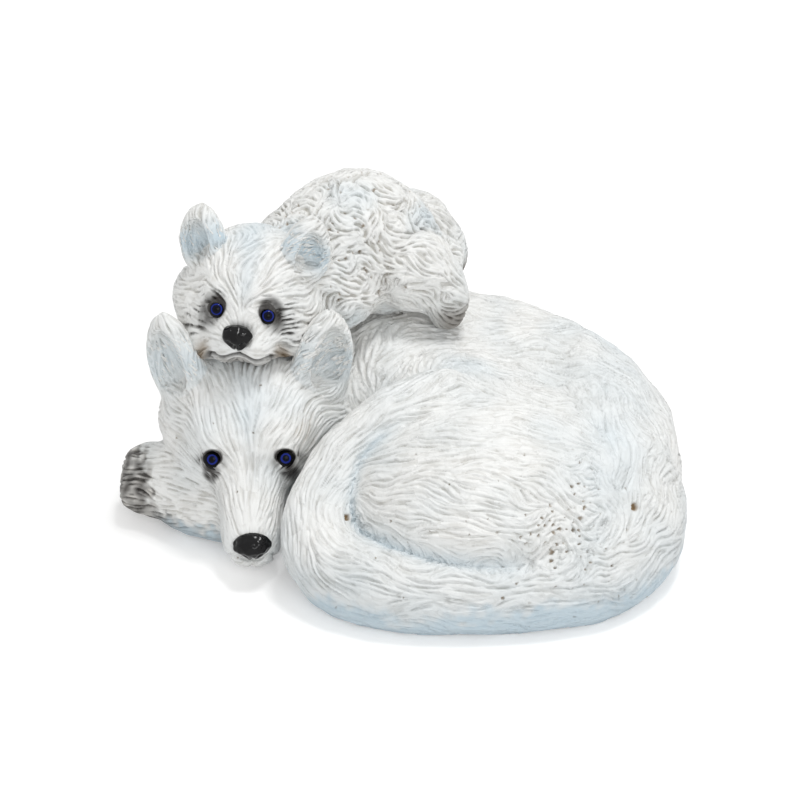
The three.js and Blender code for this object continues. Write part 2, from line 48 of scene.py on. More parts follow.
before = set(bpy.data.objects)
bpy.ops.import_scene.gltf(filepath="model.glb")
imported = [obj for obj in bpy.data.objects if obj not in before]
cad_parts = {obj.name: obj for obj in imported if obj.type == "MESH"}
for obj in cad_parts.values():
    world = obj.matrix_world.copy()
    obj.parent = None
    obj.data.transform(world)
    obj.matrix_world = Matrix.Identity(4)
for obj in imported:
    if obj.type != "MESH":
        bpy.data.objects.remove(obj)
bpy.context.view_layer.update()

MM = 0.001
BODY = "root"
RESIN = "painted_resin"


class Casting:
    """How one casting is modelled in clay. Lengths are in millimetres."""

    def __init__(self, soften, knead, spacing, stray, height, fine, reach):
        # Blur that takes its facets away, and the fillet to what is before it.
        self.soften, self.knead = soften, knead
        self.spacing = spacing
        # How far its strokes stray, then their height, share of fine strokes, and reach.
        self.stray = stray
        self.stroke = (height, fine, reach)


ANIMALS = {
    "adult": {
        "adult_body": Casting(1.6, 0.0, 0.42, 0.32, 0.60, 0.45, 3.2),
        "adult_haunch": Casting(1.6, 6.0, 0.25, 0.20, 0.52, 0.50, 3.4),
        "adult_tail": Casting(1.1, 1.2, 0.28, 0.18, 0.52, 0.50, 3.4),
        "adult_head": Casting(0.75, 2.2, 0.24, 0.12, 0.36, 1.00, 2.6),
        "adult_foreleg": Casting(0.8, 3.2, 0.25, 0.14, 0.46, 0.95, 1.2),
        "adult_ear_left": Casting(0.4, 2.2, 0.20, 0.10, 0.34, 1.00, 3.0),
        "adult_ear_right": Casting(0.4, 2.2, 0.20, 0.20, 0.55, 1.00, 2.4),
    },
    "pup": {
        "pup_body": Casting(1.1, 0.0, 0.26, 1.30, 0.62, 1.00, 0.5),
        "pup_head": Casting(0.7, 1.6, 0.205, 0.12, 0.36, 1.00, 2.2),
        "pup_ear_left": Casting(0.35, 1.6, 0.17, 0.10, 0.30, 1.00, 2.4),
        "pup_ear_right": Casting(0.35, 1.6, 0.17, 0.20, 0.45, 1.00, 2.0),
        "pup_hind_leg_right": Casting(0.8, 1.4, 0.22, 0.50, 0.65, 0.90, 1.6),
        "pup_hind_leg_left": Casting(0.8, 1.4, 0.22, 0.50, 0.65, 0.90, 1.6),
        "pup_foreleg": Casting(0.8, 1.4, 0.24, 0.50, 0.60, 0.90, 1.6),
        "pup_tail": Casting(0.6, 1.4, 0.22, 0.40, 0.50, 0.90, 1.6),
    },
}

# Grid that the forms are read on, and the margin round the object.
CELL = 0.5
ROOM = 6.0
# Distances are kept to this far from a surface.
BAND = 6.0
# Clay over an eyeball, before the eye is opened.
LID = 0.32
# A casting is let out by this much, so that the glue lines close.
LET_OUT = 0.2
# Neighbouring pieces overlap by twice this, under the surface that they share.
LAP = 0.35
FLOOR_GAP = 0.12
# The base is flat below this height.
FLAT = 0.5
# A cut piece keeps this much room round its casting's box.
CUT_ROOM = 2.5
# Past this distance from the fused surface a cut face is hidden.
HIDDEN = 0.6

corners = np.array([[list(c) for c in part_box(name)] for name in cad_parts]) / MM
LOW = np.floor(corners[:, 0].min(0) - ROOM)
SHAPE = tuple(int(n) for n in np.ceil((corners[:, 1].max(0) + ROOM - LOW) / CELL) + 1)
# Every fourth cell carries the direction of the fur.
COMB_STEP = 4

def corners_of(mesh):
    """Corners of a mesh, in metres."""
    points = np.zeros(len(mesh.vertices) * 3, np.float32)
    mesh.vertices.foreach_get("co", points)
    return points.reshape(-1, 3)


def triangles_of(mesh):
    """Triangles of a mesh, as rows of corner numbers."""
    mesh.calc_loop_triangles()
    triangles = np.zeros(len(mesh.loop_triangles) * 3, np.int32)
    mesh.loop_triangles.foreach_get("vertices", triangles)
    return triangles.reshape(-1, 3)


def add_attribute(mesh, name, values):
    """One number or one vector for each corner of a mesh."""
    vectors = values.ndim == 2
    layer = mesh.attributes.new(name, "FLOAT_VECTOR" if vectors else "FLOAT", "POINT")
    flat = values.astype(np.float32).ravel()
    layer.data.foreach_set("vector" if vectors else "value", flat)


def linked(name, data):
    """A new object in the scene."""
    item = bpy.data.objects.new(name, data)
    bpy.context.scene.collection.objects.link(item)
    return item


def evaluated_mesh(piece):
    """The mesh of an object after its modifiers."""
    graph = bpy.context.evaluated_depsgraph_get()
    return bpy.data.meshes.new_from_object(piece.evaluated_get(graph))


def distances(name, cell=CELL, low=LOW, shape=SHAPE):
    """Signed distances to a casting on a grid, kept to the band."""
    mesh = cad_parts[name].data
    width = BAND / cell
    grid = openvdb.FloatGrid.createLevelSetFromPolygons(
        ((corners_of(mesh) / MM - low) / cell).astype(np.float32),
        triangles=triangles_of(mesh).astype(np.uint32),
        transform=openvdb.createLinearTransform(1.0),
        exBandWidth=width,
        inBandWidth=width,
    )
    values = np.zeros(shape, np.float32)
    grid.copyToArray(values)
    return values * cell


def softened(values, sigma):
    """Blur over sigma cells along each axis."""
    reach = max(1, int(3 * sigma + 0.5))
    weights = np.exp(-0.5 * (np.arange(-reach, reach + 1) / sigma) ** 2)
    weights /= weights.sum()
    for axis in range(3):
        pad = [(0, 0)] * 3
        pad[axis] = (reach, reach)
        wide = np.pad(values, pad, mode="edge")
        count = values.shape[axis]
        total = np.zeros_like(values)
        for i, weight in enumerate(weights):
            window = [slice(None)] * 3
            window[axis] = slice(i, i + count)
            total += np.float32(weight) * wide[tuple(window)]
        values = total
    return values


def meld(a, b, reach):
    """The nearer of two distances, rounded where they meet within reach."""
    share = np.clip(0.5 + 0.5 * (b - a) / reach, 0, 1)
    return b * (1 - share) + a * share - reach * share * (1 - share)


def sample(values, points, low=LOW, cell=CELL, wrap=False):
    """Values of a grid at points, three-way linear. The grid may hold vectors."""
    place = (points - low) / cell
    base = np.floor(place).astype(np.int64)
    part = (place - base).astype(np.float32)
    shape = np.array(values.shape[:3])
    if wrap:
        near, far = base % shape, (base + 1) % shape
    else:
        near = np.clip(base, 0, shape - 1)
        far = np.clip(base + 1, 0, shape - 1)
    flat = values.reshape(shape.prod(), -1)
    total = 0.0
    for ends in range(8):
        weight, index = 1.0, 0
        for axis in range(3):
            high = ends >> axis & 1
            along = part[:, axis] if high else 1 - part[:, axis]
            weight = weight * along
            index = index * shape[axis] + (far if high else near)[:, axis]
        total = total + weight[:, None] * flat[index]
    return total[:, 0] if values.ndim == 3 else total


def unit(vectors):
    """Vectors of length one."""
    return vectors / np.maximum(np.linalg.norm(vectors, axis=-1, keepdims=True), 1e-9)


def ease(low, high, value):
    """0 up to low, 1 from high on, smooth between."""
    t = np.clip((value - low) / (high - low), 0, 1)
    return t * t * (3 - 2 * t)


def hill(value, width):
    """1 at zero, falling away over width."""
    return np.exp(-((value / width) ** 2))


def distance_to(middle, points):
    """How far each point is from a place."""
    return np.linalg.norm(points - np.array(middle), axis=1)


class Grain:
    """Random values in space whose waves have one length, the same in each run."""

    SIZE = 64
    PER_WAVE = 4.5

    def __init__(self, seed, wave, channels=1, spread=0.35):
        self.cell = wave / self.PER_WAVE
        random = np.random.default_rng(seed)
        steps = np.fft.fftfreq(self.SIZE)
        radius = np.sqrt(sum(s**2 for s in np.meshgrid(steps, steps, steps, indexing="ij")))
        centre = 1 / self.PER_WAVE
        ring = np.exp(-(((radius - centre) / (spread * centre)) ** 2))
        layers = []
        for _ in range(channels):
            white = random.standard_normal((self.SIZE,) * 3)
            layer = np.fft.ifftn(np.fft.fftn(white) * ring).real
            layers.append(layer / layer.std())
        self.values = np.stack(layers, -1).astype(np.float32)
        if channels == 1:
            self.values = self.values[..., 0]

    def at(self, points):
        """The grain's values at points. It repeats in space."""
        return sample(self.values, points, np.zeros(3), self.cell, wrap=True)


def centre_of(name):
    """Middle of a casting's box, in millimetres."""
    low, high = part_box(name)
    return np.array((low + high) / 2) / MM


def axis_of(name, root):
    """Direction that a limb or an ear points in, away from the casting that carries it."""
    points = corners_of(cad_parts[name].data) / MM
    reach = distance_to(centre_of(root), points)
    near = points[reach <= np.quantile(reach, 0.2)].mean(0)
    far = points[reach >= np.quantile(reach, 0.97)].mean(0)
    return unit(far - near), near, far


# Grid that a nose is read on, and its margin.
NOSE_CELL = 0.14
NOSE_ROOM = 1.5
# The sides of a face, as seen from the front, and the way each lies.
SIDES = {"left": -1, "right": 1}
# How far each eye is set from the middle of its casting, in whole cells of the grid.
EYE_STEPS = {
    "adult_eye_left": (1, -1, -1),
    "adult_eye_right": (-1, -1, -1),
    "pup_eye_left": (0, -1, -1),
    "pup_eye_right": (-2, -1, -1),
}
# An eye stands this far out of its socket.
EYE_OUT = 0.55
EYE_ROWS, EYE_COLUMNS = 64, 96
# How far each nose is set from its casting, in millimetres, and how much larger it is modelled.
NOSE_SET = {"adult_nose": ((0.5, 0.5, 1.0), 1.03), "pup_nose": ((-0.8, -0.1, -0.4), 1.08)}


class Face:
    """A head's own directions, from its eyes and nose: right, forward to the nose, and out."""

    def __init__(self, animal):
        self.animal = animal
        self.nose = centre_of(f"{animal}_nose")
        left, right = (centre_of(f"{animal}_eye_{side}") for side in SIDES)
        self.middle = (left + right) / 2
        self.right = unit(right - left)
        forward = self.nose - self.middle
        self.forward = unit(forward - (forward @ self.right) * self.right)
        self.out = np.cross(self.forward, self.right)
        self.span = float(np.linalg.norm(right - left))
        self.length = float(forward @ self.forward)

    def local(self, points):
        """Across, towards the nose, and out of the face, from between the eyes."""
        away = points - self.middle
        return away @ self.right, away @ self.forward, away @ self.out

    def from_eye(self, side, points):
        """From the middle of an eye, as it is set: outwards from the nose, down, and how far."""
        name = f"{self.animal}_eye_{side}"
        away = points - (centre_of(name) + CELL * np.array(EYE_STEPS[name]))
        gap = np.linalg.norm(away, axis=1)
        return SIDES[side] * (away @ self.right), away @ self.forward, gap


FACES = {animal: Face(animal) for animal in ANIMALS}
# Between the eyes of the adult, which the stripes are measured against.
ADULT_SPAN = 16.4
# The painted masks that each coat carries.
MASKS = ("wash", "frost", "soot", "earth")
# Middle of the adult's curl.
CURL = np.array([12.7, -0.4, 15.0])
# Middle line of the tail, from its root to its tip.
TAIL_LINE = np.array(
    [(52.2, -8.4, 13), (52.2, -17.4, 9), (47.2, -27.4, 8), (35.7, -35.6, 7.5)]
    + [(12.7, -38.9, 7.5), (-3.3, -36.9, 7.5), (-12.8, -31.9, 8.5), (-16.9, -26.4, 13)]
    + [(-14.7, -19.4, 21), (-8.9, -14.6, 29), (-1.3, -11.9, 35), (9.7, -7.9, 39.5)]
)


def along_line(points, line):
    """Direction of a line at the place on it nearest to each point."""
    ends = line[1:] - line[:-1]
    lengths = np.linalg.norm(ends, axis=1)
    heads = unit(ends)
    at_corner = unit(np.vstack([heads[:1], heads[1:] + heads[:-1], heads[-1:]]))
    best = np.full(len(points), 1e9)
    found = np.zeros((len(points), 3))
    for i, length in enumerate(lengths):
        t = np.clip((points - line[i]) @ heads[i] / length, 0, 1)
        gap = distance_to(line[i], points - t[:, None] * ends[i])
        closer = gap < best
        best[closer] = gap[closer]
        mixed = at_corner[i] * (1 - t[:, None]) + at_corner[i + 1] * t[:, None]
        found[closer] = mixed[closer]
    return unit(found)


def fur_direction(name, points):
    """The way the strokes of one casting run, before they are laid onto its surface."""
    animal = name.split("_")[0]
    if name == "adult_body":
        away = points - CURL
        round_curl = np.stack([away[:, 1], -away[:, 0], 0 * away[:, 0]], 1)
        outward = np.stack([away[:, 0], away[:, 1], 0 * away[:, 0]], 1)
        spread = 0.95 * ease(4, 24, points[:, 0]) * ease(34, 14, points[:, 1])
        return unit(round_curl) + spread[:, None] * unit(outward) + np.array([0, 0, -0.35])
    if name == "adult_haunch":
        return np.tile([1.0, -0.05, -0.22], (len(points), 1))
    if name == "adult_tail":
        return along_line(points, TAIL_LINE)
    if name.endswith("_head"):
        face = FACES[animal]
        across, _, _ = face.local(points)
        width = across / (0.5 * face.span)
        fan = 0.55 * np.clip(width, -1, 1) + 0.8 * np.sign(width) * ease(1.1, 2.0, abs(width))
        fall = 0.5 * ease(1.2, 2.0, abs(width))
        radial = unit(points - face.nose - 2.5 * face.forward) + 0.15 * face.out
        return radial + fan[:, None] * face.right - fall[:, None] * np.array([0, 0, 1.0])
    if name == "pup_body":
        return np.tile([0.7, 0.1, -0.35], (len(points), 1))
    root = f"{animal}_head" if "ear" in name or name == "adult_foreleg" else f"{animal}_body"
    axis = axis_of(name, root)[0]
    if "ear_right" in name:
        axis = unit(axis + 0.9 * FACES[animal].right)
    return np.tile(axis, (len(points), 1))


# Where the cast came out rough: the middle of the patch, and the deep holes with their radii.
ROUGH_PATCH = (34.0, -37.5, 20.0)
DEEP_HOLES = (((49.1, -27.4, 20.6), 0.95), ((-10.9, -28.7, 18.9), 0.75))
# The way the cups of the ears face.
CUP_FRONT = (0.0, -1.0, 0.25)
# Tufts that stand further out than their casting: middle, reach and pull.
TUFTS = {
    "adult_body": (((-1.0, 9.5, 39.0), 10.0, (0.0, -3.2, 2.4)),),
    "pup_head": (
        ((-41.5, 1.0, 47.3), 4.6, (-1.8, -2.0, -4.2)),
        ((-24.5, 0.5, 47.3), 3.8, (1.8, -1.6, -3.6)),
        ((-44.0, 7.0, 53.0), 4.0, (-1.2, -0.4, -0.4)),
    ),
    "adult_foreleg": (
        ((-58.0, 1.0, 7.0), 5.0, (-1.2, -1.6, -0.4)),
        ((-47.0, -4.0, 5.0), 6.0, (-0.4, -1.8, -0.6)),
    ),
}

class Clay:
    """The fused surface of one animal, with the way its fur runs."""

    def __init__(self, animal):
        self.animal = animal
        castings = ANIMALS[animal]
        self.parts = {}
        for name, casting in castings.items():
            part = distances(name)
            if name.endswith("_head"):
                for side in SIDES:
                    eye = f"{animal}_eye_{side}"
                    ball = np.roll(distances(eye), EYE_STEPS[eye], (0, 1, 2))
                    part = np.minimum(part, ball - LID)
            self.parts[name] = softened(part, casting.soften / CELL) - LET_OUT
        axes = [LOW[a] + CELL * np.arange(SHAPE[a]) for a in range(3)]
        fused = None
        for name, casting in castings.items():
            part, reach = self.parts[name], casting.knead
            if fused is None:
                fused = part.copy()
                continue
            if name == "adult_tail":
                across = ease(24, 44, axes[0])[:, None, None]
                tip = ease(31, 39, axes[2])[None, None, :]
                reach = (reach + 7 * across + 5 * tip).astype(np.float32)
            fused = meld(fused, part, reach)
        self.fused = fused
        self.slope = np.stack(np.gradient(softened(fused, 1.0)), -1).astype(np.float32)
        stack = np.sort(np.stack(list(self.parts.values())), axis=0)[:2]
        self.nearest, self.second = stack
        self.lay_fur()

    def lay_fur(self):
        """Fills the grid that holds the direction and the size of the strokes."""
        step = slice(None, None, COMB_STEP)
        coarse = {n: d[step, step, step] for n, d in self.parts.items()}
        shape = next(iter(coarse.values())).shape
        grid = [LOW[a] + CELL * COMB_STEP * np.arange(shape[a]) for a in range(3)]
        points = np.stack(np.meshgrid(*grid, indexing="ij"), -1).reshape(-1, 3)
        sway = Grain(3, 11.0, 3).at(points) + 0.6 * Grain(4, 5.5, 3).at(points)
        total, weights = 0.0, 0.0
        nearest = self.nearest[step, step, step].ravel()
        for name, distance in coarse.items():
            weight = np.exp(-(distance.ravel() - nearest) / 1.8)[:, None]
            casting = ANIMALS[self.animal][name]
            rough = hill(distance_to(ROUGH_PATCH, points), 13.0)[:, None]
            comb = unit(fur_direction(name, points)) + (casting.stray + 0.3 * rough) * sway
            row = np.hstack([comb, np.tile(casting.stroke, (len(points), 1))])
            row[:, 5:] *= 1 - 0.7 * rough
            total = total + weight * row
            weights = weights + weight
        total = total / weights
        normal = unit(sample(self.slope, points))
        comb = total[:, :3]
        comb = unit(comb - (comb * normal).sum(1)[:, None] * normal)
        self.comb = np.hstack([comb, total[:, 3:]]).reshape(*shape, 6).astype(np.float32)

    def combed(self, points):
        """Direction, height, fineness and reach of the strokes at points."""
        found = sample(self.comb, points, LOW, CELL * COMB_STEP)
        return unit(found[:, :3]), found[:, 3], found[:, 4], found[:, 5]

    def streaks(self, points, grains, reach, step=0.45):
        """Grains drawn out along the fur, as far as the reach at each point."""
        totals = [0.0] * len(grains)
        weights = 0.0
        for sign in (1, -1):
            place = points.astype(np.float64)
            for i in range(int(reach.max() / step) + 1):
                if i or sign > 0:
                    weight = np.maximum(1 - (i * step / (reach + step)) ** 2, 0)
                    for k, grain in enumerate(grains):
                        totals[k] = totals[k] + weight * grain.at(place)
                    weights = weights + weight
                place = place + sign * step * self.combed(place)[0]
        evened = [total / np.sqrt(weights) for total in totals]
        return [drawn / drawn.std() for drawn in evened]

    def cut(self, name):
        """Closed mesh of one casting's share of the fused surface: corners and quads."""
        spacing = ANIMALS[self.animal][name].spacing
        low, high = (np.array(c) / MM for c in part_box(name))
        low, high = low - CUT_ROOM, high + CUT_ROOM
        counts = np.ceil((high - low) / spacing).astype(int) + 1
        part = self.parts[name]
        other = np.where(part <= self.nearest, self.second, self.nearest)
        apart = part - other
        fields = []
        for values in (self.fused, apart):
            for axis in range(3):
                place = (low[axis] + spacing * np.arange(counts[axis]) - LOW[axis]) / CELL
                base = np.clip(np.floor(place).astype(int), 0, SHAPE[axis] - 2)
                share = (place - base).astype(np.float32)
                share = share.reshape([-1 if a == axis else 1 for a in range(3)])
                values = np.take(values, base, axis) * (1 - share) + np.take(
                    values, base + 1, axis
                ) * share
            fields.append(values)
        surface, apart = fields
        sunk = surface + 0.12 * np.clip(apart / LAP, 0, 1)
        solid = np.maximum(sunk, apart - LAP).astype(np.float32)
        grid = openvdb.FloatGrid()
        grid.copyFromArray(solid)
        points, quads = grid.convertToQuads(0.0)
        points = low + points * spacing
        hidden = (np.abs(sample(self.fused, points)) > HIDDEN) | (points[:, 2] < FLAT)
        return thinned(points, quads.astype(np.int64), hidden)


def thinned(points, quads, hidden, kept=0.06):
    """The mesh with few faces left where it is hidden inside the ornament."""
    piece = piece_from("thinned", points, quads)
    share = float(hidden[quads].all(1).mean())
    group = piece.vertex_groups.new(name="hidden")
    group.add(np.nonzero(hidden)[0].tolist(), 1.0, "REPLACE")
    thin = piece.modifiers.new("thin", "DECIMATE")
    thin.ratio = 1 - share * (1 - kept)
    thin.vertex_group = group.name
    thin.vertex_group_factor = 1000.0
    mesh = evaluated_mesh(piece)
    thin_points, faces = corners_of(mesh).astype(np.float64) / MM, triangles_of(mesh)
    old = piece.data
    bpy.data.objects.remove(piece)
    for used in (old, mesh):
        bpy.data.meshes.remove(used)
    return thin_points, faces


CLAYS = {}


def clay_of(animal):
    """The clay of an animal, made once."""
    if animal not in CLAYS:
        CLAYS[animal] = Clay(animal)
    return CLAYS[animal]


# Seed and wave length of each grain. Those of the strokes are shares of the stroke pitch.
GRAINS = {
    "coarse": (11, 1.3),
    "fine": (12, 0.68),
    "lumps": (13, 9.0),
    "knots": (14, 4.5),
    "chips": (15, 1.8),
    "patches": (21, 14.0),
    "speckle": (22, 3.0),
    "enamel": (31, 1.6),
    "pores": (41, 1.45),
}
GRAINS_MADE = {}


def grain(name, unit_length=1.0):
    """A grain of the table, made once."""
    if name not in GRAINS_MADE:
        seed, wave = GRAINS[name]
        GRAINS_MADE[name] = Grain(seed, wave * unit_length)
    return GRAINS_MADE[name]


def pup_lips(face, points):
    """How far down the pup's face each point is, and how far down its lip line runs there."""
    across, ahead, out = face.local(points)
    spread = np.abs(across)
    line = 9.5 + 0.9 * hill(spread - 3.4, 2.0) - 0.096 * np.clip(spread - 4, 0, 5) ** 2
    return 0.943 * ahead - 0.333 * out, line


# Opening of each animal's eyes: half width, half height, drop, tilt and height of the upper lid.
LIDS = {
    "adult": (1.75, 1.28, 0.1, math.radians(18), 0.22),
    "pup": (1.50, 1.45, 0.9, math.radians(12), 0.08),
}
LOWER_LID = 0.06
SOCKET_DEPTH = 1.1


def sculpt_head(animal, points):
    """Sockets, lids, brows and mouth: height, and how much of the fur is left."""
    face = FACES[animal]
    across, ahead, out = face.local(points)
    height = np.zeros(len(points))
    keep = np.ones(len(points))
    big = animal == "adult"
    wide, tall, drop, tilt, upper_lid = LIDS[animal]
    for side in SIDES:
        a, b, gap = face.from_eye(side, points)
        b = b - drop
        u = (a * math.cos(tilt) - b * math.sin(tilt)) / wide
        v = (a * math.sin(tilt) + b * math.cos(tilt)) / tall
        near = gap < 4 * wide
        ring = np.sqrt(u * u + v * v)
        height -= near * SOCKET_DEPTH * (1 - ease(0.80, 1.06, ring))
        lid = LOWER_LID + upper_lid * ease(-0.1, -0.8, v)
        height += near * lid * hill(ring - 1.35, 0.32)
        keep *= 1 - near * (1 - ease(1.1, 1.9, ring))
    # The stop between the brows.
    if big:
        height -= 0.5 * hill(across, 1.6) * hill(ahead + 4.5, 5.0) * (out > 0)
    nose_gap = distance_to(face.nose, points)
    keep *= 0.25 + 0.75 * ease(0.20 * face.span, 0.75 * face.span, nose_gap)
    # The lip line, from under the nose back to the corners, and the lobes over it.
    spread = np.abs(across)
    low = ahead - face.length
    if big:
        line = low - 1.6 + 0.16 * spread**1.3
        mouth = hill(line, 0.45) * (out < 1.0) * ease(9.5, 7.0, spread)
        parting = hill(across, 0.45) * ease(1.0, 2.0, low) * (low < 5)
    else:
        down, line = pup_lips(face, points)
        mouth = hill(down - line, 0.40) * ease(9.8, 8.8, spread)
        height += 0.55 * hill(np.hypot(spread - 3.4, down - line + 2.6), 2.4)
        keep *= 1 - 0.7 * hill(np.hypot(spread - 2.6, down - 8.0), 4.0)
        parting = hill(across, 0.45) * ease(8.0, 8.8, down) * ease(10.2, 9.6, down)
        height -= 1.3 * ease(0.2, 1.4, down - line) * ease(10, 8, spread) * (ahead > 1.5)
    height -= (0.9 * mouth + 0.5 * parting) * (ahead > 0.2 * face.length)
    return height, keep


def cup_ear(name, points, normals):
    """How squarely each point looks out of the cup, 1 at most, and its share of the height."""
    axis, near, far = axis_of(name, f"{name.split('_')[0]}_head")
    height = ((points - near) @ axis) / np.linalg.norm(far - near)
    return normals @ unit(np.array(CUP_FRONT)), height


# The airbrushed blue patches on the adult's coat: amount, then for each axis its middle and width.
AIRBRUSHED = (
    (0.36, (44, 9), None, (30, 9)),
    (0.55, (40, 15), (-36, 14), None),
    (0.30, (14, 9), (2, 8), None),
)
# Soot round an eye, as ovals: middle outwards and down, then the two half widths.
EYE_SHADE = {"adult": (0.5, 1.8, 2.2, 2.6), "pup": (0.9, -0.2, 2.9, 2.8)}
EYE_RIM = {"adult": (0, 0, 2.0, 1.45), "pup": (0, 0, 1.75, 1.55)}
EYE_CORNER = (-1.9, 1.0, 1.3, 1.2)
LASHES = {"adult": (2.7, -0.3, 1.7, 1.1), "pup": (3.6, -0.3, 2.7, 2.3)}
# The soot of an eye ends this far from it.
EYE_SOOT_REACH = 9
# The crease over the adult's brow, whose shade is painted in earth.
BROW_CREVICE = (-19.3, -10.8, 29.5)
# Masks mix evenly but are seen unevenly, so soot is raised along this power.
SOOT_POWER = 2.2


def oval(a, b, shape):
    """Distance from the middle of an oval, 1 on its edge."""
    return np.hypot((a - shape[0]) / shape[2], (b - shape[1]) / shape[3])


def paint_body(masks, points, patches, speckle, clay):
    """Airbrushed blue on the adult's body, haunch and tail, in patches, at the foot and in the
    creases, where it is also painted shade, and painted shade darker towards the bottom.
    """
    x, y, z = points.T
    frost = masks["frost"]
    # Blue at the foot: airbrush, and painted shade low down.
    frost += 0.95 * ease(8.5, 1.5, z + 1.8 * patches + 0.8 * speckle)
    # Blue in the creases at the tail and haunch: airbrush, and painted shade in the creases.
    near = sum(np.clip(sample(clay.parts[n], points), 0, 9) for n in ("adult_tail", "adult_haunch"))
    frost += 0.75 * np.exp(-near / 1.6) * ease(30, 10, x)
    # Bluer and a little darker towards the bottom: painted shade low down.
    frost += 0.26 * ease(22, 5, z)
    masks["soot"] += 0.035 * ease(24, 7, z)
    # The second patch stays low, and the third stays high.
    limits = (1, ease(14, 4, z), ease(30, 38, z))
    for (amount, *spots), limit in zip(AIRBRUSHED, limits):
        for value, spot in zip((x, y, z), spots):
            if spot:
                amount = amount * hill(value - spot[0], spot[1])
        frost += amount * limit


def paint_foreleg(masks, points, speckle, cut):
    """Dark toes and underside of the foreleg, and its blue foot, which is also painted shade low
    down.
    """
    x, y, z = points.T
    toes = ease(-54.0, -56.5, x + 0.25 * y + 0.9 * speckle)
    under = ease(8.5, 5.5, z + 1.2 * speckle) * (0.30 + 0.70 * ease(-46, -53, x))
    streaky = 0.40 + 0.60 * cut + 0.2 * speckle
    masks["soot"] += np.maximum(0.85 * toes, 0.62 * under) * streaky
    masks["earth"] += 0.25 * np.maximum(toes, under)
    # Blue at the foot: airbrush, and painted shade low down.
    masks["frost"] += 1.1 * ease(8.0, 4.0, z + speckle) * ease(-55, -50, x)


def paint_paw(masks, points, cut, low):
    """The grey foot of a hind leg whose lowest point is at low."""
    paw = ease(low + 8.5, low + 3.5, points[:, 2]) * ease(5, 11, points[:, 0])
    masks["soot"] += 0.42 * paw * (0.6 + 0.6 * cut)
    masks["earth"] += 0.45 * paw


def paint_head(masks, animal, points, speckle, cut):
    """The stripe up the face, the soot round the eyes and the pup's lips, and painted shade under
    the pup's lips and along their groove.
    """
    face = FACES[animal]
    across, ahead, out = face.local(points)
    scale = face.span / ADULT_SPAN
    width = (2.2 + 0.16 * np.clip(-ahead, 0, 30)) * (0.7 if animal == "pup" else 1)
    stripe = hill(across, width) * ease(4 * scale, -6 * scale, ahead)
    masks["frost"] += 0.36 * stripe * (out > -8)
    if animal == "adult":
        masks["frost"] += 0.12 * ease(-12, -20, ahead) * hill(across, 9)
        # Painted shade in the crease over the brow, in earth.
        brow_crease_shade = hill(distance_to(BROW_CREVICE, points), 3.2)
        masks["earth"] += 0.55 * brow_crease_shade * (0.3 + cut)
    soot, earth = masks["soot"], masks["earth"]
    ragged = 0.62 + 0.65 * cut + 0.20 * speckle
    for side in SIDES:
        a, b, gap = face.from_eye(side, points)
        shade = ease(1.25, 0.45, oval(a, b, EYE_SHADE[animal]))
        lash = oval(a, b, LASHES[animal])
        if animal == "adult":
            lash = 0.9 * hill(lash, 0.9) * (0.4 + 0.9 * cut)
            corner = 0.55 * hill(oval(a, b, EYE_CORNER), 0.85)
            shade = np.maximum(shade, corner)
        else:
            lash = hill(lash, 0.95) * (0.15 + 1.2 * cut)
        rim = ease(1.30, 0.95, oval(a, b, EYE_RIM[animal]))
        round_eye = np.maximum(np.maximum(shade, lash) * ragged, 1.15 * rim)
        soot = np.maximum(soot, (gap < EYE_SOOT_REACH) * round_eye)
    if animal == "pup":
        down, line = pup_lips(face, points)
        corner = np.hypot(np.abs(across) - 8.6, 0.8 * (down - 7.5))
        # Painted shade under the pup's lips, where the chin falls back: soot and earth below the
        # lip line.
        below = ease(0.1, 1.2, down - line) * (ahead > 0.2 * face.length)
        # Painted shade along the groove of the pup's lip line.
        lips = hill(down - line, 0.38) * ease(9.6, 8.6, np.abs(across)) * (ahead > 1.5)
        earth = np.maximum(earth, np.maximum(1.2 * hill(corner, 1.5), 0.22 * below))
        for amount in (0.5 * hill(corner, 0.7), 0.42 * below * (0.5 + cut), 0.6 * lips):
            soot = np.maximum(soot, amount)
    masks["soot"], masks["earth"] = soot, earth


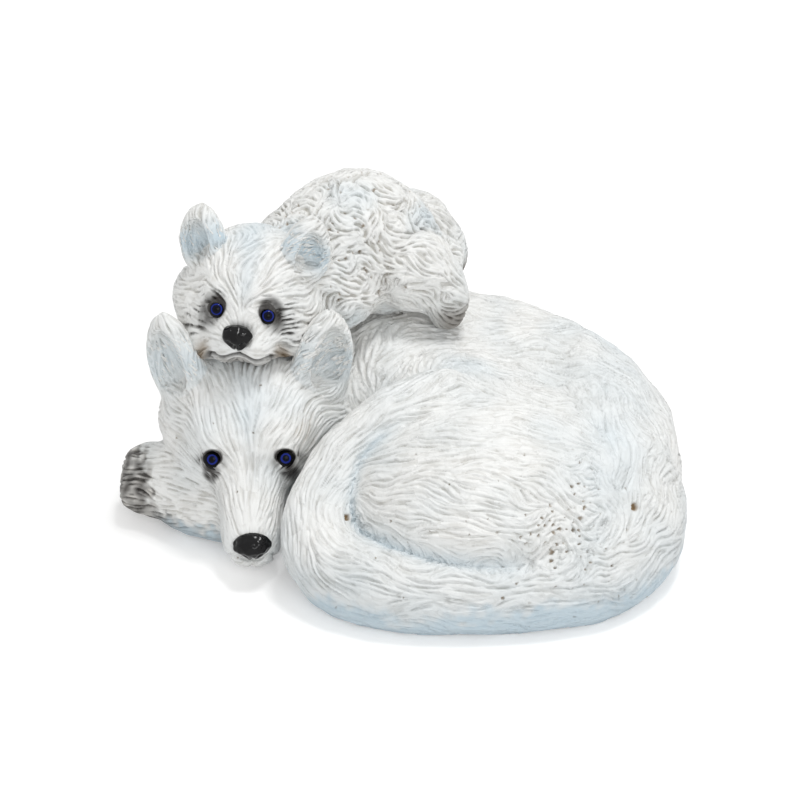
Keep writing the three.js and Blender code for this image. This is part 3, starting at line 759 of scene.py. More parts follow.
def paint(name, points, normals, furrow, clay):
    """Amount of each mask at each point."""
    animal = name.split("_")[0]
    is_head = name.endswith("_head")
    cut = 1 - furrow
    patches = grain("patches").at(points)
    speckle = grain("speckle").at(points)
    masks = {
        "wash": 0.55 + 0.16 * patches + 0.12 * speckle,
        "frost": 0.04 + 0.07 * patches,
        "soot": np.zeros(len(points)),
        "earth": np.zeros(len(points)),
    }
    if name in ("adult_body", "adult_haunch", "adult_tail"):
        paint_body(masks, points, patches, speckle, clay)
    # Earth and soot where the two animals meet and where the pup's limbs meet: dirt, and painted
    # shade in these joins.
    other = clay_of("pup" if animal == "adult" else "adult")
    shade_and_dirt_at_joins = np.exp(-np.clip(sample(other.fused, points), 0, 9) / 1.3)
    if animal == "pup" and not is_head:
        shade_and_dirt_at_joins = np.maximum(shade_and_dirt_at_joins, np.exp(-np.clip(sample(clay.second, points), 0, 9) / 0.8))
    masks["earth"] += 0.32 * shade_and_dirt_at_joins * (0.35 + 0.9 * cut)
    masks["soot"] += 0.16 * shade_and_dirt_at_joins * cut
    if name == "pup_body":
        masks["wash"] += 0.25
        masks["frost"] += 0.15 * patches
    if name == "adult_foreleg":
        paint_foreleg(masks, points, speckle, cut)
    if name.startswith("pup_hind_leg"):
        paint_paw(masks, points, cut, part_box(name)[0].z / MM)
    if "ear" in name:
        facing, height = cup_ear(name, points, normals)
        blue = 0.85 if animal == "pup" else 0.5
        masks["frost"] += blue * ease(0.15, 0.6, facing) * hill(height - 0.38, 0.34)
    if is_head:
        paint_head(masks, animal, points, speckle, cut)
    masks["soot"] = 1 - (1 - np.clip(masks["soot"], 0, 1)) ** SOOT_POWER
    amount = 0.55 if is_head else 0.9
    # The wash gathers in the furrows, where it also paints their shade.
    wash_and_shade_in_furrows = 0.10 + 0.90 * ease(0.70, 0.05, furrow)
    masks["wash"] = amount * np.clip(masks["wash"], 0, 1) * wash_and_shade_in_furrows
    return {mask: np.clip(values, 0, 1) for mask, values in masks.items()}


def pores_at(name, points):
    """Depth of the opened bubbles, from 0 to 1."""
    spots = grain("pores").at(points)
    patch = hill(distance_to(ROUGH_PATCH, points), 17.0)
    more = 1.15 if name == "pup_body" else 0.0
    strength = ease(2.70, 3.3, spots + 1.55 * patch + more)
    for middle, radius in DEEP_HOLES:
        hole = ease(1.25, 0.6, distance_to(middle, points) / radius)
        strength = np.maximum(strength, 1.6 * hole)
    return strength


# Height that the strokes rise and fall about, as a share of their own.
MEAN_RELIEF = 0.62
# Height of the lumps in the coat, and how it differs from casting to casting.
LUMP_HEIGHT = 0.9
LUMPINESS = {"head": 0.5, "ear": 0.3, "adult_body": 1.2, "pup_body": 1.7}
PORE_DEPTH = 0.55


def coat_piece(name, settings):
    """One casting's share of its animal, combed and painted."""
    animal = name.split("_")[0]
    clay = clay_of(animal)
    points, quads = clay.cut(name)
    normals = unit(sample(clay.slope, points))
    skin_gap = np.abs(sample(clay.fused, points))
    shown = 1 - ease(0.18, 0.45, skin_gap)
    comb, height, fine, reach = clay.combed(points)
    pitch = settings.stroke_pitch / MM
    grains = [grain("coarse", pitch), grain("fine", pitch)]
    coarse, small = clay.streaks(points, grains, reach)
    coarse_ridge = 1 - hill(coarse, 0.30)
    cuts = ease(0.0, 1.6, -small)
    furrow = coarse_ridge * (1 - fine) + (1 - cuts) * fine
    relief = (1 - fine) * (0.50 * coarse_ridge + 0.36 * np.tanh(1.8 * coarse))
    relief += (0.40 + 0.60 * fine) * (1 - cuts + 0.22 * np.tanh(small))
    lumps = 0.14 * grain("lumps").at(points) + 0.10 * grain("knots").at(points)
    shape, keep = 0.0, 1.0
    if name.endswith("_head"):
        shape, keep = sculpt_head(animal, points)
    kind = f"{animal}_body" if name.endswith("body") else name.split("_")[1]
    raised = settings.stroke_height * height * keep * (relief - MEAN_RELIEF)
    raised += LUMP_HEIGHT * LUMPINESS.get(kind, 1.0) * height * keep * lumps
    rough = hill(distance_to(ROUGH_PATCH, points), 12.0)
    raised += 0.16 * rough * grain("chips").at(points)
    moved = points + (shown * (raised + shape))[:, None] * normals
    for middle, width, pull in TUFTS.get(name, ()):
        near = hill(distance_to(middle, points), width)
        moved += (shown * near)[:, None] * np.array(pull)
    moved[:, 2] = np.maximum(moved[:, 2], FLOOR_GAP)
    pores = pores_at(name, points) * shown
    moved -= (PORE_DEPTH * pores)[:, None] * normals
    masks = paint(name, points, normals, furrow, clay)
    masks["earth"] = np.maximum(masks["earth"], 0.8 * pores)
    piece = piece_from(f"{name}_coat", moved, quads)
    for mask in MASKS:
        add_attribute(piece.data, mask, masks[mask])
    add_attribute(piece.data, "comb", comb)
    return piece


def signed_volume(points, faces):
    """Volume inside a closed mesh of triangles or quads, below zero if it is inside out."""
    total = 0.0
    for i in range(1, faces.shape[1] - 1):
        a, b, c = (points[faces[:, k]] for k in (0, i, i + 1))
        total += np.einsum("ij,ij->i", a, np.cross(b, c)).sum()
    return float(total) / 6


def piece_from(name, points, quads):
    """A mesh object, in metres, with its faces outwards."""
    if signed_volume(points, quads) < 0:
        quads = quads[:, ::-1]
    mesh = bpy.data.meshes.new(name)
    mesh.vertices.add(len(points))
    mesh.vertices.foreach_set("co", (points * MM).astype(np.float32).ravel())
    mesh.loops.add(quads.size)
    mesh.loops.foreach_set("vertex_index", quads.astype(np.int32).ravel())
    mesh.polygons.add(len(quads))
    starts = np.arange(0, quads.size, quads.shape[1], dtype=np.int32)
    mesh.polygons.foreach_set("loop_start", starts)
    mesh.update(calc_edges=True)
    mesh.polygons.foreach_set("use_smooth", np.ones(len(quads), bool))
    return linked(name, mesh)


def operator(operation, backwards=False):
    """A method of Term that adds one node."""

    def method(self, other):
        pair = (other, self) if backwards else (self, other)
        return self.maths(operation, *pair)

    return method


class Term:
    """A number on a socket, so that shader sums are written as sums."""

    def __init__(self, nodes, socket):
        self.nodes = nodes
        self.socket = socket

    def maths(self, operation, *values):
        node = self.nodes.node("ShaderNodeMath", values, operation=operation)
        return Term(self.nodes, node.outputs[0])

    __add__ = __radd__ = operator("ADD")
    __sub__ = operator("SUBTRACT")
    __rsub__ = operator("SUBTRACT", backwards=True)
    __mul__ = __rmul__ = operator("MULTIPLY")
    __lt__ = operator("LESS_THAN")
    __gt__ = operator("GREATER_THAN")

    def clipped(self):
        """The number, kept from 0 to 1."""
        return self.maths("MINIMUM", self.maths("MAXIMUM", self, 0.0), 1.0)


class Nodes:
    """A node tree that is built by calls."""

    def __init__(self, tree):
        self.tree = tree
        tree.nodes.clear()

    def node(self, kind, values=(), **settings):
        """A new node with its inputs set or linked, by name or in order."""
        node = self.tree.nodes.new(kind)
        for key, value in settings.items():
            setattr(node, key, value)
        pairs = values.items() if isinstance(values, dict) else enumerate(values)
        for key, value in pairs:
            self.plug(node.inputs[key], value)
        return node

    def plug(self, socket, value):
        """Links a socket, or sets it. A colour may leave out its alpha."""
        if isinstance(value, Term):
            value = value.socket
        if isinstance(value, bpy.types.NodeSocket):
            self.tree.links.new(value, socket)
        elif socket.type == "RGBA" and len(value) == 3:
            socket.default_value = (*value, 1.0)
        else:
            socket.default_value = value


class Finish(Nodes):
    """A material's nodes, under one surface shader."""

    def __init__(self, name, **sockets):
        self.material = bpy.data.materials.new(name)
        self.material.use_nodes = True
        super().__init__(self.material.node_tree)
        self.shader = self.node("ShaderNodeBsdfPrincipled", sockets)
        self.node("ShaderNodeOutputMaterial", {"Surface": self.shader.outputs[0]})

    def mask(self, name):
        """One of the mesh's own numbers."""
        return Term(self, self.node("ShaderNodeAttribute", attribute_name=name).outputs["Fac"])

    def place(self):
        """Place on the object."""
        return self.node("ShaderNodeTexCoord").outputs["Object"]

    def noise(self, scale, detail=2.0, roughness=0.5):
        """Noise in space, 0 to 1."""
        values = {"Vector": self.place(), "Scale": scale, "Detail": detail, "Roughness": roughness}
        return Term(self, self.node("ShaderNodeTexNoise", values).outputs["Fac"])

    def vector(self, operation, values):
        return self.node("ShaderNodeVectorMath", values, operation=operation).outputs

    def brushed(self, tuft, stretch, scale):
        """Noise drawn out along the fur, which starts anew in each tuft."""
        place = self.place()
        comb = self.node("ShaderNodeAttribute", attribute_name="comb").outputs["Vector"]
        tufts = self.node("ShaderNodeTexVoronoi", {"Vector": place, "Scale": 1 / tuft})
        away = self.vector("SUBTRACT", (place, tufts.outputs["Position"]))[0]
        along = Term(self, self.vector("DOT_PRODUCT", (away, comb))["Value"])
        back = self.vector("SCALE", {0: comb, "Scale": along * (1 - 1 / stretch)})[0]
        drawn = self.vector("SUBTRACT", (place, back))[0]
        values = {"Vector": drawn, "Scale": scale, "Detail": 1.5}
        return Term(self, self.node("ShaderNodeTexNoise", values).outputs["Fac"])

    def mix(self, factor, a, b):
        """Colour a, or b where the factor is 1."""
        node = self.node("ShaderNodeMix", {0: factor, 6: a, 7: b}, data_type="RGBA")
        return node.outputs[2]

    def bump(self, height, strength, distance):
        """A normal that follows a height."""
        values = {"Height": height, "Strength": strength, "Distance": distance}
        return self.node("ShaderNodeBump", values).outputs[0]

    def set(self, **values):
        """Sets or links sockets of the shader."""
        for key, value in values.items():
            self.plug(self.shader.inputs[key.replace("_", " ")], value)


def resin_finish(name, paints):
    """White resin under a brushed wash, airbrushed shades and dry-brushed soot; the wash also
    paints the shade in the furrows and between the strokes.
    """
    finish = Finish(name, Roughness=0.55)
    wash, frost, soot, earth = (finish.mask(m) for m in MASKS)
    mottle = finish.noise(260.0, 3.0, 0.6)
    strokes = finish.brushed(tuft=0.0045, stretch=7.0, scale=1250.0)
    # Painted shade between the strokes of the bump, added to the wash.
    between = ((0.50 - strokes) * 6.0).clipped()
    wash_and_groove_shade = (wash * (0.55 + 0.5 * mottle) + 0.26 * between).clipped()
    colour = finish.mix(wash_and_groove_shade, paints.white, paints.wash)
    colour = finish.mix((frost * (0.75 + 0.5 * mottle)).clipped(), colour, paints.frost)
    colour = finish.mix((earth * (0.7 + 0.5 * mottle)).clipped(), colour, paints.earth)
    colour = finish.mix((soot * (0.8 + 0.4 * mottle)).clipped(), colour, paints.soot)
    # Air bubbles that opened in the cast.
    cells = {"Vector": finish.place(), "Scale": 210.0}
    bubbles = finish.node("ShaderNodeTexVoronoi", cells)
    luck = finish.node("ShaderNodeSeparateColor", [bubbles.outputs["Color"]]).outputs
    size = 0.12 * Term(finish, luck[1])
    chosen = Term(finish, luck[0]) > 0.93
    pit = (Term(finish, bubbles.outputs["Distance"]) < size) * chosen
    colour = finish.mix(0.75 * pit, colour, paints.pit)
    grit = finish.noise(1500.0, 3.0, 0.6)
    finish.set(
        Base_Color=colour,
        Roughness=0.40 + 0.16 * mottle,
        Normal=finish.bump(strokes + 0.2 * grit - 0.4 * pit, 0.8, 0.00045),
    )
    return finish.material


class OrnamentCoat(bpy.types.PropertyGroup):
    """Sizes of the fur strokes."""

    stroke_pitch: bpy.props.FloatProperty(
        name="Stroke pitch",
        description="Distance from one broad fur stroke to the next",
        default=0.0014,
        min=0.0005,
        max=0.004,
        unit="LENGTH",
    )
    stroke_height: bpy.props.FloatProperty(
        name="Stroke height",
        description="Height of the strokes, as a share of what the piece is modelled with",
        default=1.0,
        min=0.0,
        max=2.0,
        subtype="FACTOR",
    )


def colour_property(name, description, default):
    """A colour setting."""
    return bpy.props.FloatVectorProperty(
        name=name, description=description, default=default, subtype="COLOR", min=0, max=1
    )


class OrnamentPaint(bpy.types.PropertyGroup):
    """Colours of the painted resin, enamel and felt."""

    white: colour_property("White", "Ground coat over the resin", (0.87, 0.875, 0.865))
    # The wash is real paint that also stands in for the shade in the strokes.
    wash: colour_property("Wash", "Warm grey left in the strokes", (0.44, 0.42, 0.37))
    frost: colour_property("Frost", "Airbrushed pale blue", (0.60, 0.71, 0.78))
    earth: colour_property("Earth", "Tan in the corners", (0.24, 0.16, 0.08))
    soot: colour_property("Soot", "Round the eyes and on the toes", (0.016, 0.012, 0.009))
    pit: colour_property("Pit", "Dirt in the opened bubbles", (0.30, 0.25, 0.18))
    enamel: colour_property("Enamel", "Black of the eyes and noses", (0.0035, 0.0035, 0.004))
    iris: colour_property("Iris", "Ring painted on each eye", (0.012, 0.024, 0.21))
    felt: colour_property("Felt", "Pads under the ornament", (0.03, 0.033, 0.037))


class OrnamentStage(bpy.types.PropertyGroup):
    """Where the ornament is seen from."""

    distance: bpy.props.FloatProperty(
        name="Distance",
        description="From the camera to the middle of the ornament",
        default=0.66,
        unit="LENGTH",
    )
    elevation: bpy.props.FloatProperty(
        name="Elevation",
        description="Height of the camera above the horizon",
        default=math.radians(30),
        subtype="ANGLE",
    )
    aim: bpy.props.FloatVectorProperty(
        name="Aim",
        description="Point that the camera looks at",
        default=(0.0, 0.0, 0.0307),
        subtype="TRANSLATION",
        unit="LENGTH",
    )
    scale: bpy.props.FloatProperty(
        name="Pixels per metre",
        description="Size of the ornament in a frame 800 pixels wide",
        default=4630.0,
    )


def settle(piece, node, material):
    """Sets a finished piece on the ornament in place of its casting."""
    piece.data.materials.append(material)
    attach(piece, BODY)
    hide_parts(node)


def coats(context, names):
    """Models a group of castings, all in one material."""
    scene = context.scene
    resin = bpy.data.materials.get(RESIN) or resin_finish(RESIN, scene.ornament_paint)
    for name in names:
        settle(coat_piece(name, scene.ornament_coat), name, resin)


class ORNAMENT_OT_adult(bpy.types.Operator):
    """Model the adult's body, haunch, tail and head"""

    bl_idname = "ornament.adult"
    bl_label = "Adult"

    def execute(self, context):
        names = ["adult_body", "adult_haunch", "adult_tail", "adult_head"]
        coats(context, names)
        return {"FINISHED"}


class ORNAMENT_OT_pup(bpy.types.Operator):
    """Model the pup's body, head, legs and tail"""

    bl_idname = "ornament.pup"
    bl_label = "Pup"

    def execute(self, context):
        names = [n for n in ANIMALS["pup"] if "ear" not in n]
        coats(context, names)
        return {"FINISHED"}


class ORNAMENT_OT_foreleg(bpy.types.Operator):
    """Model the adult's folded foreleg"""

    bl_idname = "ornament.foreleg"
    bl_label = "Foreleg"

    def execute(self, context):
        coats(context, ["adult_foreleg"])
        return {"FINISHED"}


class ORNAMENT_OT_ears(bpy.types.Operator):
    """Model the four ears"""

    bl_idname = "ornament.ears"
    bl_label = "Ears"

    def execute(self, context):
        names = [n for animal in ANIMALS.values() for n in animal if "ear" in n]
        coats(context, names)
        resin = bpy.data.materials[RESIN]
        for name in names:
            hair = ear_strands(name, bpy.data.objects[f"{name}_coat"], resin)
            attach(hair, BODY)
        return {"FINISHED"}


def strand_tree():
    """Geometry Nodes that stand a tapered, bent strand on every point, along its lean."""
    tree = bpy.data.node_groups.new("strands", "GeometryNodeTree")
    nodes = Nodes(tree)
    node = nodes.node
    sockets = tree.interface
    inputs = (
        ("Roots", "Geometry", None),
        ("Width", "Float", 0.0003),
        ("Bend", "Float", 0.18),
        ("Unevenness", "Float", 0.35),
        ("Seed", "Int", 5),
        ("Material", "Material", None),
    )
    for label, kind, default in inputs:
        item = sockets.new_socket(label, in_out="INPUT", socket_type=f"NodeSocket{kind}")
        if default is not None:
            item.default_value = default
    sockets.new_socket("Strands", in_out="OUTPUT", socket_type="NodeSocketGeometry")

    def maths(operation, a, b):
        return node("ShaderNodeMath", (a, b), operation=operation).outputs[0]

    def attribute(name, kind):
        found = node("GeometryNodeInputNamedAttribute", {"Name": name}, data_type=kind)
        return found.outputs[0]

    given = node("NodeGroupInput").outputs
    shape = {"Vertices": 7, "Side Segments": 6}
    sizes = {"Radius Top": 0.12, "Radius Bottom": 1.0, "Depth": 1.0}
    cone = node("GeometryNodeMeshCone", {**shape, **sizes}).outputs["Mesh"]
    place = node("ShaderNodeSeparateXYZ", [node("GeometryNodeInputPosition").outputs[0]])
    bent = maths("MULTIPLY", maths("POWER", place.outputs["Z"], 2.0), given["Bend"])
    shift = maths("MULTIPLY", maths("DIVIDE", bent, given["Width"]), MM)
    offset = node("ShaderNodeCombineXYZ", [shift]).outputs[0]
    strand = node("GeometryNodeSetPosition", {0: cone, "Offset": offset}).outputs[0]
    lean = {"Vector": attribute("lean", "FLOAT_VECTOR")}
    turned = node("FunctionNodeAlignRotationToVector", lean, axis="Z").outputs[0]
    least, most = (maths(sign, 1.0, given["Unevenness"]) for sign in ("SUBTRACT", "ADD"))
    luck = {2: least, 3: most, "Seed": given["Seed"]}
    uneven = node("FunctionNodeRandomValue", luck, data_type="FLOAT").outputs[1]
    width = maths("MULTIPLY", given["Width"], uneven)
    scale = node("ShaderNodeCombineXYZ", (width, width, attribute("size", "FLOAT"))).outputs[0]
    stand = {"Points": given["Roots"], "Instance": strand, "Rotation": turned, "Scale": scale}
    stood = node("GeometryNodeInstanceOnPoints", stand).outputs[0]
    real = node("GeometryNodeRealizeInstances", [stood]).outputs[0]
    painted = node("GeometryNodeSetMaterial", {0: real, "Material": given["Material"]})
    node("NodeGroupOutput", [painted.outputs[0]])
    return tree


def strands_piece(name, roots, leans, lengths, width, material):
    """Strands grown from the roots, as one plain mesh."""
    mesh = bpy.data.meshes.new(f"{name}_roots")
    mesh.from_pydata([tuple(p) for p in roots * MM], [], [])
    add_attribute(mesh, "lean", leans)
    add_attribute(mesh, "size", lengths * MM)
    piece = linked(name, mesh)
    tree = bpy.data.node_groups.get("strands") or strand_tree()
    grow = piece.modifiers.new("strands", "NODES")
    grow.node_group = tree
    ids = {item.name: item.identifier for item in tree.interface.items_tree}
    grow[ids["Width"]] = width * MM
    grow[ids["Material"]] = material
    piece.update_tag()
    grown = evaluated_mesh(piece)
    piece.modifiers.remove(grow)
    piece.data = grown
    grown.name = name
    bpy.data.meshes.remove(mesh)
    for mask in MASKS:
        grown.attributes.new(mask, "FLOAT", "POINT")
    grown.polygons.foreach_set("use_smooth", np.ones(len(grown.polygons), bool))
    return piece


# Strands in each ear: how many, their length and width, and how they lean across.
EAR_HAIR = {
    "adult_ear_left": (80, 3.2, 0.24, 0.5),
    "adult_ear_right": (140, 3.4, 0.30, 1.2),
    "pup_ear_left": (60, 2.2, 0.18, 0.5),
    "pup_ear_right": (100, 2.4, 0.22, 1.2),
}


def ear_strands(name, coat, material):
    """Hair in the cup of an ear, from the points of its coat."""
    count, length, width, lean_across = EAR_HAIR[name]
    points = corners_of(coat.data).astype(np.float64) / MM
    animal = name.split("_")[0]
    clay = clay_of(animal)
    normals = unit(sample(clay.slope, points))
    facing, height = cup_ear(name, points, normals)
    axis = axis_of(name, f"{animal}_head")[0]
    right = FACES[animal].right
    skin_gap = np.abs(sample(clay.fused, points))
    inside = np.nonzero((facing > 0.3) & (height > 0.12) & (height < 0.66) & (skin_gap < 0.9))[0]
    random = np.random.default_rng(sum(map(ord, name)))
    chosen = random.choice(inside, 6 * count, replace=False)
    side = -1 if "left" in name else 1
    leans = axis + lean_across * side * right + 0.22 * random.standard_normal((len(chosen), 3))
    outward = normals[chosen]
    leans = unit(unit(leans - (leans * outward).sum(1)[:, None] * outward) + 0.06 * outward)
    lengths = length * random.uniform(0.6, 1.1, len(chosen))
    roots = points[chosen] - 0.15 * outward
    tips = roots + lengths[:, None] * leans
    middles = roots + 0.5 * lengths[:, None] * leans
    lying = np.maximum(*(np.abs(sample(clay.fused, p) - 0.1) for p in (middles, tips))) < 0.6
    roots, leans, lengths = (v[lying][:count] for v in (roots, leans, lengths))
    return strands_piece(f"{name}_hair", roots, leans, lengths, width, material)


def eye_piece(name, animal):
    """An eyeball that carries the distance from its gaze, for the painted ring."""
    points = corners_of(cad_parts[name].data) / MM
    centre = (points.max(0) + points.min(0)) / 2 + CELL * np.array(EYE_STEPS[name])
    centre = centre + EYE_OUT * FACES[animal].out
    radius = float((points.max(0) - points.min(0)).max()) / 2
    side = SIDES[name.split("_")[-1]]
    gaze = unit(np.array([0.06 * side, -0.88, 0.46]))
    across = unit(np.cross(gaze, [0.0, 0.0, 1.0]))
    up = np.cross(across, gaze)
    lat = np.arange(1, EYE_ROWS) / EYE_ROWS * math.pi
    lon = np.arange(EYE_COLUMNS) / EYE_COLUMNS * 2 * math.pi
    grid_lat, grid_lon = (g[..., None] for g in np.meshgrid(lat, lon, indexing="ij"))
    sideways = np.cos(grid_lon) * across + np.sin(grid_lon) * up
    body = (np.cos(grid_lat) * gaze + np.sin(grid_lat) * sideways).reshape(-1, 3)
    verts = np.vstack([gaze[None], body, -gaze[None]])
    faces = []
    last_row = 1 + (EYE_ROWS - 2) * EYE_COLUMNS
    for j in range(EYE_COLUMNS):
        k = (j + 1) % EYE_COLUMNS
        faces.append((0, 1 + j, 1 + k))
        for row in range(1, last_row, EYE_COLUMNS):
            below = row + EYE_COLUMNS
            faces.append((row + j, below + j, below + k, row + k))
        faces.append((last_row + k, last_row + j, len(verts) - 1))
    mesh = bpy.data.meshes.new(f"{name}_ball")
    mesh.from_pydata(((centre + radius * verts) * MM).tolist(), [], faces)
    mesh.update()
    angle = np.concatenate([[0.0], np.repeat(lat, EYE_COLUMNS), [math.pi]])
    add_attribute(mesh, "gaze", angle * radius)
    mesh.polygons.foreach_set("use_smooth", np.ones(len(faces), bool))
    turn_outwards(mesh)
    return linked(f"{name}_ball", mesh)


def turn_outwards(mesh):
    """Turns the faces of a closed mesh outwards."""
    start = Vector(mesh.vertices[0].co)
    if sum(face.normal.dot(face.center - start) * face.area for face in mesh.polygons) < 0:
        mesh.flip_normals()


# Painted ring of each eye: outer and inner radius, and the radius of the pupil.
IRIS = {"adult": (1.15, 0.76, 0.42), "pup": (1.32, 0.98, 0.5)}


def eye_finish(name, paints, outer, inner, pupil):
    """Gloss black with a thin painted ring and a black pupil."""
    finish = Finish(name, Roughness=0.07, **{"Specular IOR Level": 0.08})
    gaze = finish.mask("gaze")
    wobble = (finish.noise(900.0) - 0.5) * 0.30
    ring = ((gaze + wobble) < outer) * ((gaze + wobble) > inner)
    haze = (gaze < outer) * 0.06
    colour = finish.mix(haze, paints.enamel, paints.iris)
    colour = finish.mix(ring, colour, paints.iris)
    colour = finish.mix(gaze < pupil, colour, paints.enamel)
    finish.set(Base_Color=colour)
    return finish.material


class ORNAMENT_OT_eyes(bpy.types.Operator):
    """Make the four enamelled eyes"""

    bl_idname = "ornament.eyes"
    bl_label = "Eyes"

    def execute(self, context):
        paints = context.scene.ornament_paint
        for animal, rings in IRIS.items():
            material = eye_finish(f"{animal}_eye_enamel", paints, *rings)
            for side in SIDES:
                name = f"{animal}_eye_{side}"
                settle(eye_piece(name, animal), name, material)
        return {"FINISHED"}


def nose_piece(name):
    """A nose softened from its casting, with its nostrils pressed in."""
    cell, room = NOSE_CELL, NOSE_ROOM
    low, high = (np.array(c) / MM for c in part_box(name))
    low = low - room
    shape = tuple(int(n) for n in np.ceil((high + room - low) / cell) + 1)
    values = softened(distances(name, cell, low, shape), 0.22 / cell) - 0.1
    grid = openvdb.FloatGrid()
    grid.copyFromArray(values)
    points, quads = grid.convertToQuads(0.0)
    points = low + points * cell
    slope = np.stack(np.gradient(softened(values, 1.5)), -1).astype(np.float32)
    normals = unit(sample(slope, points, low, cell))
    lumps = grain("enamel").at(points)
    face = FACES[name.split("_")[0]]
    across, ahead, out = face.local(points)
    ahead = ahead - face.length
    wide = 0.5 * (high - low)[0] - room
    front = ease(-0.2, 0.8, ahead)
    nostril = hill(np.hypot(np.abs(across) - 0.5 * wide, 0.9 * out), 0.26 * wide)
    groove = hill(across, 0.10 * wide) * ease(0.35 * wide, -0.1 * wide, out)
    pressed = front * (0.55 * nostril + 0.30 * groove)
    moved = points + (0.05 * lumps - pressed)[:, None] * normals
    shift, larger = NOSE_SET[name]
    middle = centre_of(name)
    moved = middle + larger * (moved - middle) + np.array(shift)
    return piece_from(f"{name}_leather", moved, quads.astype(np.int64))


def enamel_finish(name, paints):
    """Gloss black enamel, brushed on a little unevenly."""
    finish = Finish(name, Roughness=0.14, **{"Specular IOR Level": 0.22})
    smear = finish.noise(700.0, 2.0)
    finish.set(
        Base_Color=paints.enamel,
        Roughness=0.05 + 0.12 * smear,
        Normal=finish.bump(finish.noise(1100.0, 2.0), 0.35, 0.0001),
    )
    return finish.material


class ORNAMENT_OT_noses(bpy.types.Operator):
    """Make the two enamelled noses"""

    bl_idname = "ornament.noses"
    bl_label = "Noses"

    def execute(self, context):
        material = enamel_finish("nose_enamel", context.scene.ornament_paint)
        for animal in ANIMALS:
            name = f"{animal}_nose"
            settle(nose_piece(name), name, material)
        return {"FINISHED"}


class ORNAMENT_OT_fixings(bpy.types.Operator):
    """Finish the steel dowels and felt pads"""

    bl_idname = "ornament.fixings"
    bl_label = "Dowels and pads"

    def execute(self, context):
        steel = Finish("ground_steel", Metallic=1.0)
        grind = steel.noise(1800.0, 3.0)
        steel.set(
            Base_Color=steel.mix(grind, (0.52, 0.54, 0.56), (0.64, 0.65, 0.67)),
            Roughness=0.28 + 0.15 * grind,
        )
        felt = Finish("felt", Roughness=0.95)
        nap = felt.noise(2600.0, 4.0, 0.7)
        dark = tuple(context.scene.ornament_paint.felt)
        felt.set(
            Base_Color=felt.mix(nap, dark, tuple(1.8 * c for c in dark)),
            Normal=felt.bump(nap, 0.8, 0.0002),
        )
        for name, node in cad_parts.items():
            for start, slot, finish in (("dowel", "steel", steel), ("base_pad", "felt", felt)):
                if name.startswith(start):
                    node.data.materials.clear()
                    node.data.materials.append(finish.material)
        return {"FINISHED"}


# Rays that see the background, which stays white for them.
BACKGROUND_RAYS = ("Is Camera Ray", "Is Glossy Ray", "Is Transmission Ray")
WHITE = (1.0, 1.0, 1.0)
# Light that the surroundings give.
WORLD_COLOUR = (1.0, 1.0, 0.99)
WORLD_STRENGTH = 0.61
FLOOR_SIZE = 8.0
FLOOR_GLOW = 0.30
# Name, place, size and power of each lamp.
LAMPS = (
    ("softbox_top", (0.18, 0.05, 1.0), 0.26, 3.4),
    ("softbox_front", (0.18, -0.90, 0.62), 0.55, 2.6),
)
SENSOR_MM = 36.0
FRAME_PIXELS = 800.0


def background_rays(nodes):
    """1 for the rays that see the background, 0 for the rest."""
    path = nodes.node("ShaderNodeLightPath")
    return sum(Term(nodes, path.outputs[ray]) for ray in BACKGROUND_RAYS).clipped()


def lamp(name, place, size, power, target):
    """A round softbox that points at the target."""
    light = bpy.data.lights.new(name, "AREA")
    light.shape = "DISK"
    light.size = size
    light.energy = power
    item = linked(name, light)
    item.location = place
    item.rotation_euler = (target - Vector(place)).to_track_quat("-Z", "Y").to_euler()


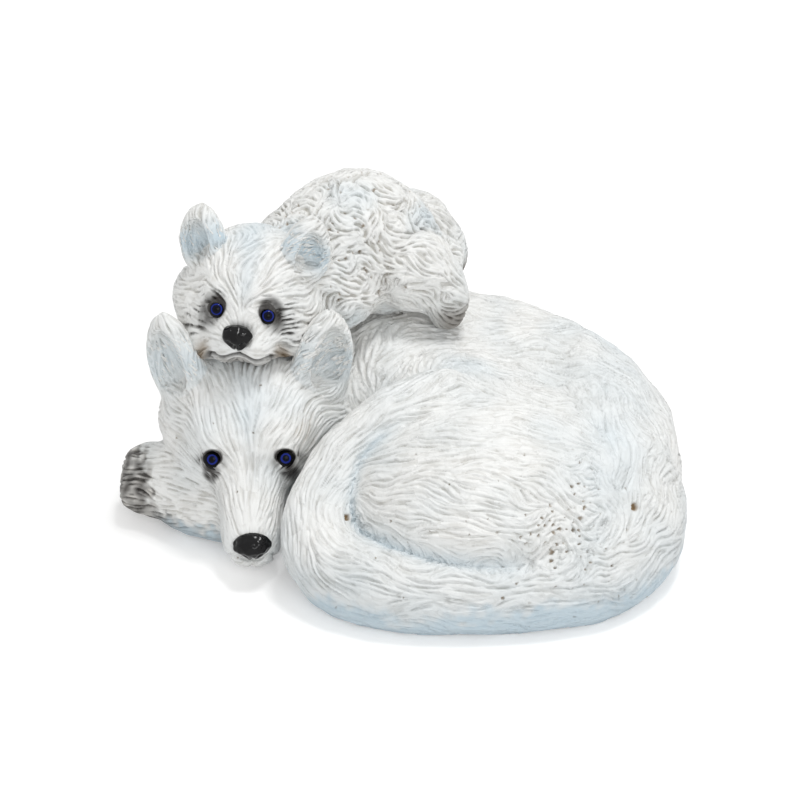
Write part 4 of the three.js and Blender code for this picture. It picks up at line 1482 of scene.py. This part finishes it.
class ORNAMENT_OT_stage(bpy.types.Operator):
    """Set the floor, the lights and the camera"""

    bl_idname = "ornament.stage"
    bl_label = "Stage"

    def execute(self, context):
        scene = context.scene
        stage = scene.ornament_stage
        target = Vector(stage.aim)
        bpy.ops.mesh.primitive_plane_add(size=FLOOR_SIZE)
        floor = context.active_object
        floor.name = "floor"
        paper = Finish("white_paper", Roughness=0.9, **{"Specular IOR Level": 0.1})
        glow = paper.mix(background_rays(paper), (0, 0, 0), WHITE)
        paper.set(Base_Color=(0.86, 0.86, 0.86), Emission_Color=glow)
        paper.set(Emission_Strength=FLOOR_GLOW)
        floor.data.materials.append(paper.material)

        world = bpy.data.worlds.new("studio")
        world.use_nodes = True
        sky = Nodes(world.node_tree)
        lit, shown = (
            sky.node("ShaderNodeBackground", {"Color": colour, "Strength": strength}).outputs[0]
            for colour, strength in ((WORLD_COLOUR, WORLD_STRENGTH), (WHITE, 1.0))
        )
        mixed = sky.node("ShaderNodeMixShader", (background_rays(sky), lit, shown))
        sky.node("ShaderNodeOutputWorld", {"Surface": mixed.outputs[0]})
        scene.world = world
        for settings in LAMPS:
            lamp(*settings, target)

        camera = bpy.data.cameras.new("camera")
        camera.sensor_width = SENSOR_MM
        camera.lens = SENSOR_MM * stage.scale * stage.distance / FRAME_PIXELS
        camera.clip_start, camera.clip_end = 0.01, 20.0
        back = Vector((0, -math.cos(stage.elevation), math.sin(stage.elevation)))
        scene.camera = linked("camera", camera)
        scene.camera.location = target + stage.distance * back
        scene.camera.rotation_euler = (-back).to_track_quat("-Z", "Y").to_euler()
        scene.view_settings.view_transform = "Standard"
        return {"FINISHED"}


STEPS = (
    ORNAMENT_OT_adult,
    ORNAMENT_OT_foreleg,
    ORNAMENT_OT_pup,
    ORNAMENT_OT_ears,
    ORNAMENT_OT_eyes,
    ORNAMENT_OT_noses,
    ORNAMENT_OT_fixings,
    ORNAMENT_OT_stage,
)


class ORNAMENT_PT_panel(bpy.types.Panel):
    """Lists the pieces of the ornament and their sizes and colours"""

    bl_idname = "ORNAMENT_PT_panel"
    bl_label = "Curled wolf and pup"
    bl_space_type = "VIEW_3D"
    bl_region_type = "UI"
    bl_category = "Ornament"

    def draw(self, context):
        layout = self.layout
        for group in SETTINGS:
            box = layout.box()
            for name in SETTINGS[group].__annotations__:
                box.prop(getattr(context.scene, group), name)
        for step in STEPS:
            layout.operator(step.bl_idname)


SETTINGS = {
    "ornament_coat": OrnamentCoat,
    "ornament_paint": OrnamentPaint,
    "ornament_stage": OrnamentStage,
}


def register():
    """Adds the settings, the operators and the panel."""
    for group, kind in SETTINGS.items():
        bpy.utils.register_class(kind)
        setattr(bpy.types.Scene, group, bpy.props.PointerProperty(type=kind))
    for kind in (*STEPS, ORNAMENT_PT_panel):
        bpy.utils.register_class(kind)


def unregister():
    """Takes away what register added."""
    for kind in (ORNAMENT_PT_panel, *reversed(STEPS)):
        bpy.utils.unregister_class(kind)
    for group, kind in SETTINGS.items():
        delattr(bpy.types.Scene, group)
        bpy.utils.unregister_class(kind)


def main():
    """Runs every operator."""
    register()
    for step in STEPS:
        family, name = step.bl_idname.split(".")
        getattr(getattr(bpy.ops, family), name)()


if __name__ == "__main__":
    main()
